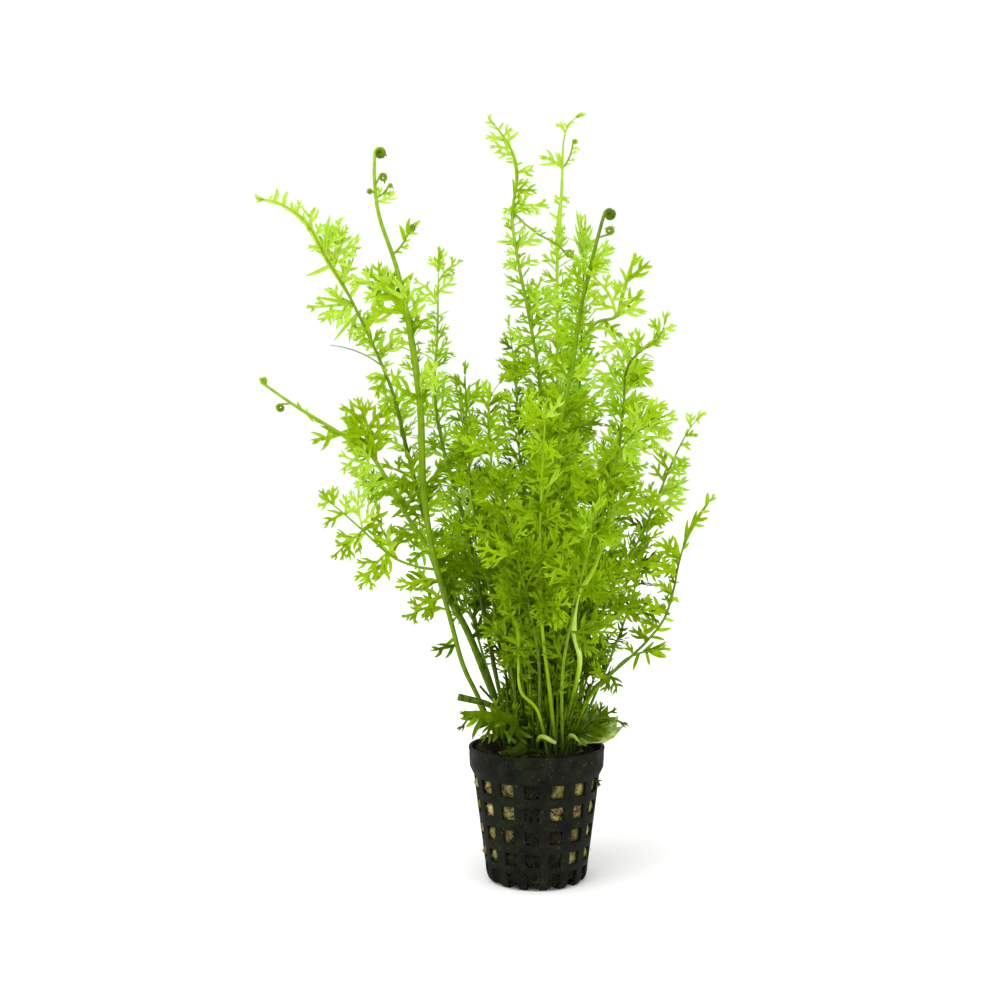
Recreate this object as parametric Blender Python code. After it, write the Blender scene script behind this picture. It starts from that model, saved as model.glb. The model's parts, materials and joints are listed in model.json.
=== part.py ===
"""A potted water sprite: a fern of finely cut fronds, rooted in rock wool in a black net pot.

The origin is the middle of the pot's underside, +Z is up, +X is to the right and -Y is the front.
Sizes in the tables are millimetres; every mesh is written in metres.
"""
import math
import random
from collections import namedtuple

import bpy
from mathutils import Matrix, Vector
from mathutils.bvhtree import BVHTree

MM = 0.001
# Edges that bend more than this, in degrees, are shaded as edges
SHARP_ANGLE = 35

# Net pot
POT_COLUMNS = 15
FIRST_WINDOW_ANGLE = -30.0
WINDOW_ANGLE = 13.5
POT_WALL = 1.2
# Outer side of the pot, radius and height, from the lip down to the middle of the underside
RIM_RADIUS = 26.0
POT_HEIGHT = 50.5
POT_PROFILE = [
    (RIM_RADIUS, POT_HEIGHT),
    (25.75, 42.7),
    (23.9, 39.7),
    (23.35, 34.8),
    (22.95, 31.5),
    (22.25, 26.3),
    (21.75, 22.5),
    (21.1, 17.5),
    (20.6, 13.8),
    (20.0, 9.0),
    (19.65, 6.5),
    (19.2, 2.0),
    (17.2, 0.0),
    (10.5, 0.0),
]
# Rings of the profile that a window spans, by the number of its upper and lower ring
WINDOW_ROWS = [(2, 3), (4, 5), (6, 7), (8, 9), (10, 13)]

# Rock wool and crown
WOOL_GAP = 0.35
WOOL_TOP = 46.8
WOOL_BOTTOM = 1.6
WOOL_LUMP = 0.5
# The wool rises to the left of this edge
WOOL_HEAP_EDGE = -15.5
WOOL_HEAP_SLOPE = 0.7
CROWN_CENTRE = (2.0, 0.0)
CROWN_RADIUS = 16.5
CROWN_TOP = 50.2
CROWN_SIDES = 16
CROWN_FLOOR = WOOL_TOP + WOOL_LUMP + 0.35
# The crown's outline from its edge inwards, as shares of its radius and of its height
CROWN_RINGS = [(1.0, 0.0), (0.95, 0.45), (0.7, 0.85), (0.35, 1.0)]
FOOT_GAP = 0.35

# Fronds
EYE = Vector((-14.0, -480.0, 144.2))
FRONT = Vector((0.0, -1.0, 0.0))
STALK_DEPTH = 0.85
SITE = 1.1
STALK_SAG = 0.5
BLADE_HALF_WIDTH = 1.15
BLADE_HALF_THICKNESS = 0.4
NECK_HALF_WIDTH = 0.55
NECK_SHARE = 0.22
# Shares of a leaflet's length where its pairs of lobes end, for one, two and three pairs
BLADE_ENDS = ((), (0.34,), (0.42, 0.64), (0.40, 0.56, 0.72))
CLEARANCE = 0.35
LOBE_ANGLES = (52, 42, 34)
LOBE_SHARES = (0.46, 0.40, 0.32)
BUD_HALF_WIDTH = 1.5
FULL_SPREAD = math.radians(62)
COIL_TIGHTENING = 0.42
COIL_STEP = 62
# Corners of a blade's ring and of a stalk's ring: across to the right, and out to the front
BLADE_RING = ((1, 1), (1, -1), (-1, -1), (-1, 1))
STALK_RING = ((0, 1), (1, -0.6), (-1, -0.6))
BACK_STALK_RING = ((0, -1), (-1, 0.6), (1, 0.6))
FOOT_SHARE = 0.6
# Turns tried round the stalk, towards its outward side where positive
SWINGS = (0, 14, 28, 42, -14, 56, -24, 70)
REACHES = (1.0, 0.82, 0.64)
FILL_ANGLE = 58
FILL_TWISTS = (-18, 62)
BACK_FROM = 14.0
FIRST_REACH = 1.3

# A frond's route runs from its foot to its tip. Each point is the place it takes in the front view,
# across and up, at the pot's distance, and then how far behind the pot's middle it lies.
# A pinna runs from its foot to its tip in the same view, then how far back its tip leans and how
# many pairs of lobes it has. COIL in place of a number makes it a small rolled bud.
# Fill is the shares of the route between which plain pairs of pinnae grow, their number and reach.
# A cut frond ends in a flat face in place of a point.
Frond = namedtuple("Frond", "route widths pinnae fill coil cut", defaults=((), None, None, False))
COIL = -1

FRONDS = {
    "fiddlehead_left": Frond(
        [(-8, 52, -4), (-19, 74, -8), (-27, 94, -12), (-37, 114, -17), (-43, 145, -20),
         (-45, 185, -21), (-52, 227, -19), (-60, 252, -17), (-62, 273, -16)],
        (3.2, 1.5),
        [(-61, 264, -57, 268, 0, COIL), (-61, 260, -65, 262, -1, COIL),
         (-60, 257, -53, 261, 3, 1), (-56, 239, -44, 251, -3, 2), (-53, 227, -47, 232, 2, 0),
         (-50, 212, -64, 233, 5, 3), (-48, 206, -39, 215, 4, 2)],
        (0.40, 0.66, 2, 17), (2.3, 0.8, 1)),
    "frond_left_arching": Frond(
        [(-9, 52, 2), (-17, 72, 4), (-25, 92, 6), (-35, 112, 8), (-43, 138, 9), (-50, 165, 9),
         (-56, 188, 8), (-70, 219, 6), (-80, 236, 4), (-88, 250, 3), (-98, 257.5, 2), (-109, 260, 0)],
        (2.4, 0.9),
        [(-101, 258, -99, 264, -2, 0), (-96, 257, -95, 263, 2, 0), (-91, 253, -91, 260, -2, 0),
         (-86, 247, -85, 256, 2, 1), (-81, 238, -79, 254, -3, 2), (-78, 232, -75, 252, 3, 2),
         (-74, 226, -74, 237, -3, 1), (-83, 241, -88, 241, -2, 1), (-79, 234, -89, 230, 3, 0),
         (-70, 219, -87, 218, -3, 3), (-64, 206, -73, 208, -4, 1), (-60, 198, -79, 204, 4, 0),
         (-57, 191, -64, 189, -3, 2), (-54, 180, -60, 178, 3, 1), (-60, 198, -51, 208, 4, 2)],
        (0.28, 0.46, 2, 15)),
    "frond_left_spreading": Frond(
        [(-12.5, 52, -2), (-22.5, 69, -5), (-28.5, 82, -7), (-34, 102, -9), (-41, 124, -11),
         (-51.5, 141, -12), (-63, 161, -12), (-75, 169.5, -11), (-92, 180, -9), (-105, 189, -8)],
        (2.5, 1.1),
        [(-94, 181, -99, 179, -2, COIL), (-86, 176, -87, 182, 1, COIL), (-81, 173, -85, 172, -1, 0),
         (-75, 169, -87, 166, -2, 1), (-66, 164, -74, 173, 3, 2), (-62, 160, -68, 183, 1, 3),
         (-62, 157, -75, 161, -3, 2), (-56, 146, -69, 151, 2, 2), (-50, 139, -42, 151, -5, 2),
         (-38, 114, -53, 111, -4, 3), (-35, 102, -51, 100, 3, 2), (-36, 106, -27, 113, -6, 2)],
        None, (1.5, 0.7, 1)),
    "frond_left_low_branch": Frond(
        [(-42.2, 118.9, -11), (-52, 121, -13), (-66.5, 132.5, -15), (-75, 140, -16), (-84, 147, -16)],
        (1.8, 0.9),
        [(-53, 122, -60, 136, 3, 1), (-54, 121, -67, 111, -3, 1), (-67, 133, -63, 148, -3, 2),
         (-67, 132, -79, 123, 3, 1), (-73, 138, -72.5, 149, 2, 0), (-76, 140, -84, 136, -2, 0),
         (-79, 143, -77.5, 151, 2, 0), (-80, 143.5, -84.5, 142, -1, 0)]),
    "frond_left_pale": Frond(
        [(-7, 52, 7), (-14, 70, 10), (-21, 106, 14), (-27.5, 136, 18), (-35, 161, 20),
         (-39, 185, 20), (-38, 208, 19), (-37.5, 240, 17)],
        (2.2, 0.8),
        [(-37.4, 234, -34, 240, 2, 0), (-37.4, 231, -42, 237, -2, 1), (-37.3, 228, -29, 236, 3, 1),
         (-37.3, 221, -46, 229, 2, 2), (-38, 207, -33, 211, -3, 1), (-39, 200, -30, 201, 2, 2)],
        (0.42, 0.74, 3, 16)),
    "frond_short_left": Frond(
        [(-4, 52, 0), (-10, 76, -3), (-17, 106, -6), (-23, 135, -8), (-26, 160, -9), (-27.5, 196, -9)],
        (2.0, 0.8),
        [(-27, 183, -19, 190, -3, 2), (-27, 186, -33, 192, 3, 1)],
        (0.42, 0.84, 4, 16)),
    "frond_inner_left": Frond(
        [(-2, 52, -8), (-6, 80, -13), (-11, 110, -18), (-15, 140, -22), (-18, 165, -24),
         (-18, 182, -25), (-12, 192, -25)],
        (1.9, 0.8),
        [(-17.5, 184, -21, 191, 2, 1), (-17.5, 180, -8, 184, -3, 2)],
        (0.40, 0.86, 4, 17)),
    "frond_tall_left": Frond(
        [(1, 52, 4), (2, 90, 7), (1.5, 155, 11), (1, 190, 12), (-3, 215, 12), (-7.5, 238, 12),
         (-9.3, 253, 12), (-7.5, 268, 11), (-10, 279, 10), (-18, 290.5, 9)],
        (2.3, 0.9),
        [(-13, 284, -20, 284, -1, 1), (-10, 279, -18, 280, 2, 1), (-12, 283, -9, 287, 1, 1),
         (-8.3, 274, -12, 274, -2, 0), (-7.5, 269, 0, 270, -3, 1), (-8, 262, 1, 263, 3, 2),
         (-8.8, 256, -14, 254, -2, 1), (-8.8, 255, 4, 257, -3, 2), (-9.2, 247, 12, 239, 2, 0),
         (-8.4, 243, -16, 243, 2, 0), (-8, 240, 3, 244, -3, 2), (-7.6, 235, -14, 235, -3, 1),
         (-6, 227, -12, 230, 3, 1), (-5, 222, -12, 222, -3, 1), (-3.5, 216, 11, 225, -4, 3),
         (-1.5, 206, -12, 209, -4, 2), (0.8, 190, -13, 198, 3, 2)],
        (0.30, 0.50, 3, 17)),
    "frond_tallest": Frond(
        [(4, 52, 9), (6, 100, 16), (8, 150, 21), (8, 200, 23), (8, 240, 23), (9.6, 262, 22),
         (11, 285, 21), (18.5, 293.5, 20)],
        (2.2, 1.0),
        [(11, 285, 7.5, 288.5, -2, 1), (10.2, 271, 0, 276, -2, 2), (10.2, 270, 14.5, 281, 2, 1),
         (9.6, 260, 6, 261, 2, 1), (9.7, 259, 13, 258, -2, 1), (8.6, 252, 5, 254, 3, 0),
         (8.2, 246, 11.5, 244, -2, 0)],
        (0.36, 0.76, 4, 17)),
    "fiddlehead_right": Frond(
        [(3.5, 52, -3), (5, 95, -6), (6.5, 140, -9), (9, 172, -11), (13.5, 194, -12),
         (16.5, 215, -12), (21, 235, -12), (25, 250, -12)],
        (3.0, 1.7),
        [(23, 243, 28.5, 248, -1, COIL), (13.5, 193, 24, 198, -3, 1), (15, 205, 4, 212, -3, 3)],
        (0.42, 0.74, 3, 18), (2.4, 0.8, 1)),
    "frond_right_forked_branch": Frond(
        [(18.4, 207.6, -13), (23.5, 212.4, -14), (30.5, 214.6, -15), (33, 223, -16), (37.3, 237.6, -16)],
        (2.0, 0.9),
        [(30, 214, 43, 217, -3, 2), (32, 219, 42, 225, 2, 2), (34, 228, 44, 236, -2, 2),
         (34, 229, 32, 234, 2, 0), (30, 214.6, 21, 232, -3, 2)]),
    "frond_right_inner": Frond(
        [(8.5, 52, -7), (13, 66, -15), (16.6, 82, -21), (14.3, 94, -24), (15.5, 107, -24),
         (21, 116, -22), (26, 130, -20), (29, 150, -19), (33, 177, -18), (35.2, 196, -17),
         (46.5, 206, -16), (50, 215, -16)],
        (2.8, 1.0),
        [(47, 207, 43, 214, -2, 1), (48, 209, 53.5, 211, 2, 1), (35, 189, 46, 197, -2, 2),
         (34, 188, 19, 187, -4, 3), (34, 180, 37, 186, 2, 0), (33.4, 177, 44, 184, -3, 2),
         (41, 201, 36, 211, 3, 2)],
        (0.52, 0.66, 2, 16)),
    "frond_right_front": Frond(
        [(10, 52, -2), (14, 90, -9), (20, 125, -17), (27, 150, -24), (34, 166, -28),
         (43, 173, -30), (52, 178, -30)],
        (2.0, 0.8),
        [(42, 172.5, 50, 183, -2, 1), (42, 172.5, 52, 169, 2, 1), (36, 169, 42, 181, 3, 2)],
        (0.34, 0.84, 3, 18)),
    "frond_right_outer": Frond(
        [(14, 52, 3), (18, 76, 7), (26, 103, 11), (36, 123, 13), (41.5, 133, 13), (45.5, 143, 13),
         (50, 154, 12), (54, 163, 11), (59, 172, 10), (63.5, 177, 9)],
        (2.1, 0.8),
        [(59, 172, 59.5, 178, 1, 0), (57.5, 169, 62, 169.5, -2, 0), (55, 165, 60, 166, 2, 0),
         (50, 154, 58, 161, -2, 2), (50, 155, 48, 166, 3, 1), (47, 147, 58.5, 151, 2, 2),
         (45.5, 143, 58, 143, -2, 0), (44, 139, 54, 137, 2, 2), (44, 140, 42, 149, -3, 1)],
        (0.30, 0.60, 2, 16)),
    "frond_right_low": Frond(
        [(15, 52, -3), (20.5, 69.5, -9), (28, 77, -12), (37, 85, -15), (43, 91, -17), (49, 99, -18),
         (52.5, 110, -18), (54.5, 120, -17), (58, 131, -16), (64.5, 141.5, -14), (69.5, 148, -13)],
        (2.0, 0.7),
        [(65, 142, 65.5, 147, 2, 0), (63, 139, 67, 140, -2, 0), (60, 134.5, 64, 134.5, 2, 0),
         (57, 129, 57.5, 137, 2, 0), (53.5, 115, 42, 121, -3, 3), (52, 107, 55, 105, -1, 0),
         (50, 101, 40, 108, 4, 2), (49, 99, 53, 98, -2, 0), (44, 92, 49.5, 90, 2, 0),
         (55.5, 123, 46, 129, -3, 2)]),
    "frond_right_lowest": Frond(
        [(12, 52, -6), (19.5, 67, -16), (28, 77, -22), (34, 83, -25), (41, 86, -26), (50, 87.5, -26)],
        (1.9, 0.9),
        [(39, 85, 36.8, 78.3, -2, 0), (42, 86, 45, 80, 2, 0), (44, 86.4, 50, 84, -2, 0),
         (41, 86, 45, 91, -2, 0), (28, 77, 31, 68.5, 2, 1)]),
    "frond_centre_front": Frond(
        [(7.5, 52, -12), (5, 71, -20), (2.5, 91, -28), (1.3, 110, -34), (1.5, 140, -40),
         (3, 170, -44), (4, 182, -45)],
        (2.6, 0.9),
        [(3, 174, -9, 177, -3, 2), (3, 174, 14, 173, 2, 2), (2.6, 167, -7, 162, 2, 2),
         (2.6, 167, 10, 160, -3, 2)],
        (0.40, 0.74, 3, 18)),
    "frond_right_back": Frond(
        [(8, 52, 8), (12, 100, 21), (15, 150, 31), (17, 200, 36), (18, 230, 38), (17, 253, 38)],
        (2.0, 0.9),
        [(18, 238, 21.5, 250, -3, 1), (17.9, 231, 29, 241, 2, 2), (17.8, 240, 15, 251, 2, 0)],
        (0.40, 0.84, 3, 17)),
    "frond_inner_back": Frond(
        [(-1, 52, 9), (-3, 100, 20), (-6, 150, 29), (-8, 190, 33), (-11, 214, 35)],
        (1.9, 0.8), (),
        (0.38, 0.92, 4, 17)),
    "frond_back_left": Frond(
        [(-4, 52, 13), (-12, 90, 25), (-21, 130, 36), (-27, 165, 43), (-31, 190, 46)],
        (2.0, 0.8), (),
        (0.34, 0.92, 4, 17)),
    "frond_back_centre": Frond(
        [(2, 52, 14), (4, 95, 30), (8, 140, 43), (12, 180, 51), (14, 218, 56)],
        (2.2, 0.8), (),
        (0.36, 0.92, 4, 18)),
    "frond_back_right": Frond(
        [(9.5, 52, 12.5), (18, 90, 26), (26, 130, 36), (32, 165, 42), (35, 200, 45)],
        (2.0, 0.8), (),
        (0.36, 0.92, 4, 17)),
    "frond_back_low": Frond(
        [(-1, 52, 15), (-3, 80, 35), (-4, 105, 50), (-3, 130, 60), (-1, 150, 65)],
        (1.9, 0.8), (),
        (0.40, 0.92, 3, 17)),
    "frond_back_right_low": Frond(
        [(13.5, 52, 8), (26, 78, 20), (36, 105, 29), (42, 130, 34), (44, 150, 36)],
        (1.8, 0.8), (),
        (0.42, 0.92, 3, 15)),
    "frond_back_left_low": Frond(
        [(-8.5, 52, 10), (-19, 80, 20), (-27, 108, 28), (-32, 130, 33), (-33, 148, 35)],
        (1.8, 0.8), (),
        (0.42, 0.92, 3, 15)),
    "frond_front_left": Frond(
        [(0.5, 52, -12), (1, 80, -25), (-3, 104, -35), (-8, 125, -42), (-13, 145, -46), (-15, 162, -49)],
        (2.2, 0.8), (),
        (0.44, 0.92, 3, 17)),
    "frond_front_right": Frond(
        [(10, 52, -14), (10, 78, -30), (15, 105, -40), (21, 130, -46), (25, 150, -50)],
        (2.0, 0.8), (),
        (0.42, 0.92, 3, 17)),
    "frond_front_drooping": Frond(
        [(4.6, 53, -15.2), (0.6, 63, -20), (-6, 71, -23), (-7, 83, -25), (-7, 94, -27),
         (-10, 100, -28), (-14, 97, -29)],
        (1.8, 0.9),
        [(-6.5, 92, -2, 100, -3, 1), (-7, 97, -13, 104, 3, 1)]),
    "base_leaf_left": Frond(
        [(-8, 52, -10), (-14, 59, -14), (-20, 61.5, -16), (-28, 62.5, -17)],
        (1.8, 1.8),
        [(-20, 61.5, -23, 66, 0, 0), (-19, 61, -26, 52.5, -3, 0), (-14.5, 59, -17, 51.5, -4, 0)]),
    "base_leaf_left_back": Frond(
        [(-12.5, 52, 3), (-18, 60, 2), (-23, 63, 2), (-29, 57, 1)],
        (1.6, 1.6),
        [(-21, 62, -24, 68, 0, 0), (-18, 59, -24, 56, 3, 0)]),
    "base_leaf_front": Frond(
        [(-6.2, 52, -11.2), (-8, 57.5, -16.5), (-10.5, 60.5, -19.5), (-15, 63, -21)],
        (1.7, 1.5),
        [(-9, 59.5, -10.5, 51, -3, 0), (-7.5, 57, -2, 53.5, -4, 0)]),
    "base_leaf_inside_rim": Frond(
        [(-3.4, 52, -12.4), (-4.2, 50.5, -15.5), (-6.5, 48.5, -18), (-11, 46.8, -19.3)],
        (2.2, 2.4),
        [(-6.5, 48.5, 1, 46.2, -2, 0)]),
    "base_leaf_right_pale": Frond(
        [(13.5, 52, -11), (18, 57, -15.5), (25, 61, -18.5), (34, 58.5, -19.5)],
        (3.2, 2.6),
        [(19, 58, 27, 53, -2, 0), (24, 61, 28, 66, 2, 0)]),
    "base_leaf_right_curled": Frond(
        [(10.5, 52, -10.5), (13, 54, -16), (17, 51, -18.5)],
        (1.8, 1.6)),
    "cut_stem_left": Frond(
        [(-11.5, 52, -6), (-14, 61, -8), (-18, 65.7, -10), (-30, 68.8, -12)],
        (2.0, 3.0), cut=True),
    "cut_stem_left_small": Frond(
        [(-9.5, 52, 6.5), (-14.5, 64, 6), (-21.7, 73, 5)],
        (1.4, 1.2), cut=True),
    "cut_stem_front": Frond(
        [(-0.5, 52, -15.2), (1.3, 53.4, -20), (7.4, 51.1, -20.5)],
        (1.8, 1.8), cut=True),
}


def seen(across, up, back):
    """The point, in millimetres, that takes this place in the front view and lies this far back."""
    share = (back - EYE.y) / -EYE.y
    return EYE + (Vector((across, 0.0, up)) - EYE) * share


def clear_scene():
    for old in list(bpy.data.objects):
        bpy.data.objects.remove(old, do_unlink=True)


def material(name, colour, roughness):
    made = bpy.data.materials.new(name)
    made.use_nodes = True
    shader = made.node_tree.nodes["Principled BSDF"]
    shader.inputs["Base Color"].default_value = (*colour, 1.0)
    shader.inputs["Roughness"].default_value = roughness
    shader.inputs["Metallic"].default_value = 0.0
    return made


def add_object(name, points, faces, finish):
    """Make a mesh object from points in millimetres, and lists of the points round each face."""
    mesh = bpy.data.meshes.new(name)
    mesh.from_pydata([tuple(Vector(point) * MM) for point in points], [], faces)
    mesh.validate()
    mesh.shade_smooth()
    mesh.set_sharp_from_angle(angle=math.radians(SHARP_ANGLE))
    mesh.materials.append(finish)
    made = bpy.data.objects.new(name, mesh)
    bpy.context.scene.collection.objects.link(made)
    return made


def pot_angles():
    """Both edges of every window, counted from the front towards the right."""
    angles = []
    for column in range(POT_COLUMNS):
        middle = FIRST_WINDOW_ANGLE + column * 360.0 / POT_COLUMNS
        angles.append(math.radians(middle - WINDOW_ANGLE / 2))
        angles.append(math.radians(middle + WINDOW_ANGLE / 2))
    return angles


def ring_points(radius, height, angles):
    return [(radius * math.sin(angle), -radius * math.cos(angle), height) for angle in angles]


def net_pot(finish):
    """The outer skin of the pot with its windows left out, thickened inwards to the wall."""
    points = []
    for radius, height in POT_PROFILE:
        points += ring_points(radius, height, pot_angles())
    count = 2 * POT_COLUMNS
    last = len(POT_PROFILE) - 1
    faces = []
    for ring in range(last):
        in_window_row = any(top <= ring < bottom for top, bottom in WINDOW_ROWS)
        for step in range(count):
            if in_window_row and step % 2 == 0:
                continue
            after = (step + 1) % count
            upper = ring * count
            lower = upper + count
            faces.append((upper + step, lower + step, lower + after, upper + after))
    faces.append([last * count + step for step in reversed(range(count))])
    pot = add_object("net_pot", points, faces, finish)
    wall = pot.modifiers.new("wall", "SOLIDIFY")
    wall.thickness = POT_WALL * MM
    wall.offset = -1.0
    wall.use_even_offset = True
    return pot


def inner_radius(height):
    """Inside radius of the pot's wall at a height."""
    for (upper_radius, upper), (lower_radius, lower) in zip(POT_PROFILE[1:], POT_PROFILE[2:]):
        if lower <= height <= upper:
            share = (height - lower) / (upper - lower)
            return lower_radius + share * (upper_radius - lower_radius) - POT_WALL
    return POT_PROFILE[-1][0]


def rock_wool(finish):
    """The plug of rock wool round the roots, which fills the pot nearly to its rim."""
    rng = random.Random("rock wool")
    profile = [(0.82 * inner_radius(4.5), WOOL_BOTTOM), (inner_radius(6.5) - WOOL_GAP, 5.0)]
    profile += [(inner_radius(height) - WOOL_GAP, height) for height in (20.0, 39.5)]
    profile += [(inner_radius(39.6) - WOOL_GAP, WOOL_TOP - 1.0)]
    points = []
    for radius, height in profile:
        points += ring_points(radius, height, pot_angles()[::2])
    for share in (0.93, 0.7, 0.35):
        for x, y, z in ring_points(share * profile[-1][0], WOOL_TOP, pot_angles()[::2]):
            heap = max(0.0, WOOL_HEAP_SLOPE * (WOOL_HEAP_EDGE - x))
            points.append((x, y, z + heap + rng.uniform(-WOOL_LUMP, WOOL_LUMP)))
    count = POT_COLUMNS
    rings = len(points) // count
    faces = [[step for step in reversed(range(count))]]
    for ring in range(rings - 1):
        for step in range(count):
            after = (step + 1) % count
            lower = ring * count
            upper = lower + count
            faces.append((lower + step, lower + after, upper + after, upper + step))
    faces.append([(rings - 1) * count + step for step in range(count)])
    return add_object("rock_wool", points, faces, finish)


def crown_height(from_middle):
    """Height of the crown's upper side at a distance from its middle."""
    for (outer, low), (inner, high) in zip(CROWN_RINGS, CROWN_RINGS[1:]):
        if from_middle >= inner * CROWN_RADIUS:
            share = (outer - from_middle / CROWN_RADIUS) / (outer - inner)
            return CROWN_FLOOR + (low + share * (high - low)) * (CROWN_TOP - CROWN_FLOOR)
    return CROWN_TOP


def crown(finish):
    """The low woody stock that the fronds grow from, spread over the rock wool."""
    points = []
    for spread, rise in CROWN_RINGS:
        for side in range(CROWN_SIDES):
            angle = 2 * math.pi * side / CROWN_SIDES
            points.append((
                CROWN_CENTRE[0] + spread * CROWN_RADIUS * math.cos(angle),
                CROWN_CENTRE[1] + spread * CROWN_RADIUS * math.sin(angle),
                CROWN_FLOOR + rise * (CROWN_TOP - CROWN_FLOOR),
            ))
    faces = [list(reversed(range(CROWN_SIDES)))]
    for ring in range(len(CROWN_RINGS) - 1):
        for side in range(CROWN_SIDES):
            after = (side + 1) % CROWN_SIDES
            lower = ring * CROWN_SIDES
            upper = lower + CROWN_SIDES
            faces.append((lower + side, lower + after, upper + after, upper + side))
    faces.append([(len(CROWN_RINGS) - 1) * CROWN_SIDES + side for side in range(CROWN_SIDES)])
    return add_object("crown", points, faces, finish)


def smooth_through(points, steps=10):
    """A smooth run of points through the given ones."""
    run = []
    ends = [2 * points[0] - points[1]] + points + [2 * points[-1] - points[-2]]
    for before, start, end, after in zip(ends, ends[1:], ends[2:], ends[3:]):
        for step in range(steps):
            t = step / steps
            run.append(0.5 * (
                2 * start + (end - before) * t
                + (2 * before - 5 * start + 4 * end - after) * t ** 2
                + (3 * start - before - 3 * end + after) * t ** 3
            ))
    run.append(points[-1].copy())
    return run


def coil_points(end, along, side, radius, turns):
    """Points of a flat spiral that leaves end in the direction along and curls towards side."""
    centre = end + side * radius
    points = []
    for step in range(1, round(turns * 360 / COIL_STEP) + 1):
        angle = math.radians(step * COIL_STEP)
        reach = radius * (1 - COIL_TIGHTENING * angle / (2 * math.pi))
        points.append(centre + reach * (math.sin(angle) * along - math.cos(angle) * side))
    return points


class Path:
    """A smooth line with its length, and the direction and place at any distance along it."""

    def __init__(self, points):
        self.points = points
        self.marks = [0.0]
        for start, end in zip(points, points[1:]):
            self.marks.append(self.marks[-1] + (end - start).length)
        self.length = self.marks[-1]

    def place(self, distance):
        distance = min(max(distance, 0.0), self.length)
        for index, (start, end) in enumerate(zip(self.marks, self.marks[1:])):
            if distance <= end:
                share = (distance - start) / (end - start)
                return self.points[index].lerp(self.points[index + 1], share)
        return self.points[-1].copy()

    def along(self, distance):
        return (self.place(distance + 0.6) - self.place(distance - 0.6)).normalized()

    def nearest(self, point):
        closest = min(range(len(self.points)), key=lambda index: (self.points[index] - point).length)
        return self.marks[closest]


def square_to(direction, facing):
    """The sideways and forward directions of a blade that runs in a direction and faces a way."""
    side = direction.cross(facing).normalized()
    return side, side.cross(direction).normalized()


class Body:
    """A closed tube of flat-sided rings, from whose sides narrower tubes and lobes grow."""

    def __init__(self):
        self.points = []
        self.faces = []

    def ring(self, centre, direction, facing, half_width, half_thickness, corners=BLADE_RING):
        side, front = square_to(direction, facing)
        first = len(self.points)
        for across, out in corners:
            self.points.append(
                centre + side * (across * half_width) + front * (out * half_thickness)
            )
        return list(range(first, len(self.points)))

    def walls(self, lower, upper, open_sides=()):
        """Join two rings, and give back the corners of the sides that are left open."""
        left_open = {}
        for corner in range(len(lower)):
            after = (corner + 1) % len(lower)
            face = [lower[corner], lower[after], upper[after], upper[corner]]
            if corner in open_sides:
                left_open[corner] = face
            else:
                self.faces.append(face)
        return left_open

    def point_over(self, ring, tip):
        """Close a ring, or an open side, with a pointed end."""
        apex = len(self.points)
        self.points.append(tip)
        for corner in range(len(ring)):
            self.faces.append([ring[corner], ring[(corner + 1) % len(ring)], apex])

    def tree(self):
        return BVHTree.FromPolygons(self.points, self.faces)

    def crosses_itself(self):
        """Whether two faces meet anywhere but at corners that they share."""
        tree = self.tree()
        return any(
            set(self.faces[one]).isdisjoint(self.faces[other]) for one, other in tree.overlap(tree)
        )


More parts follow.
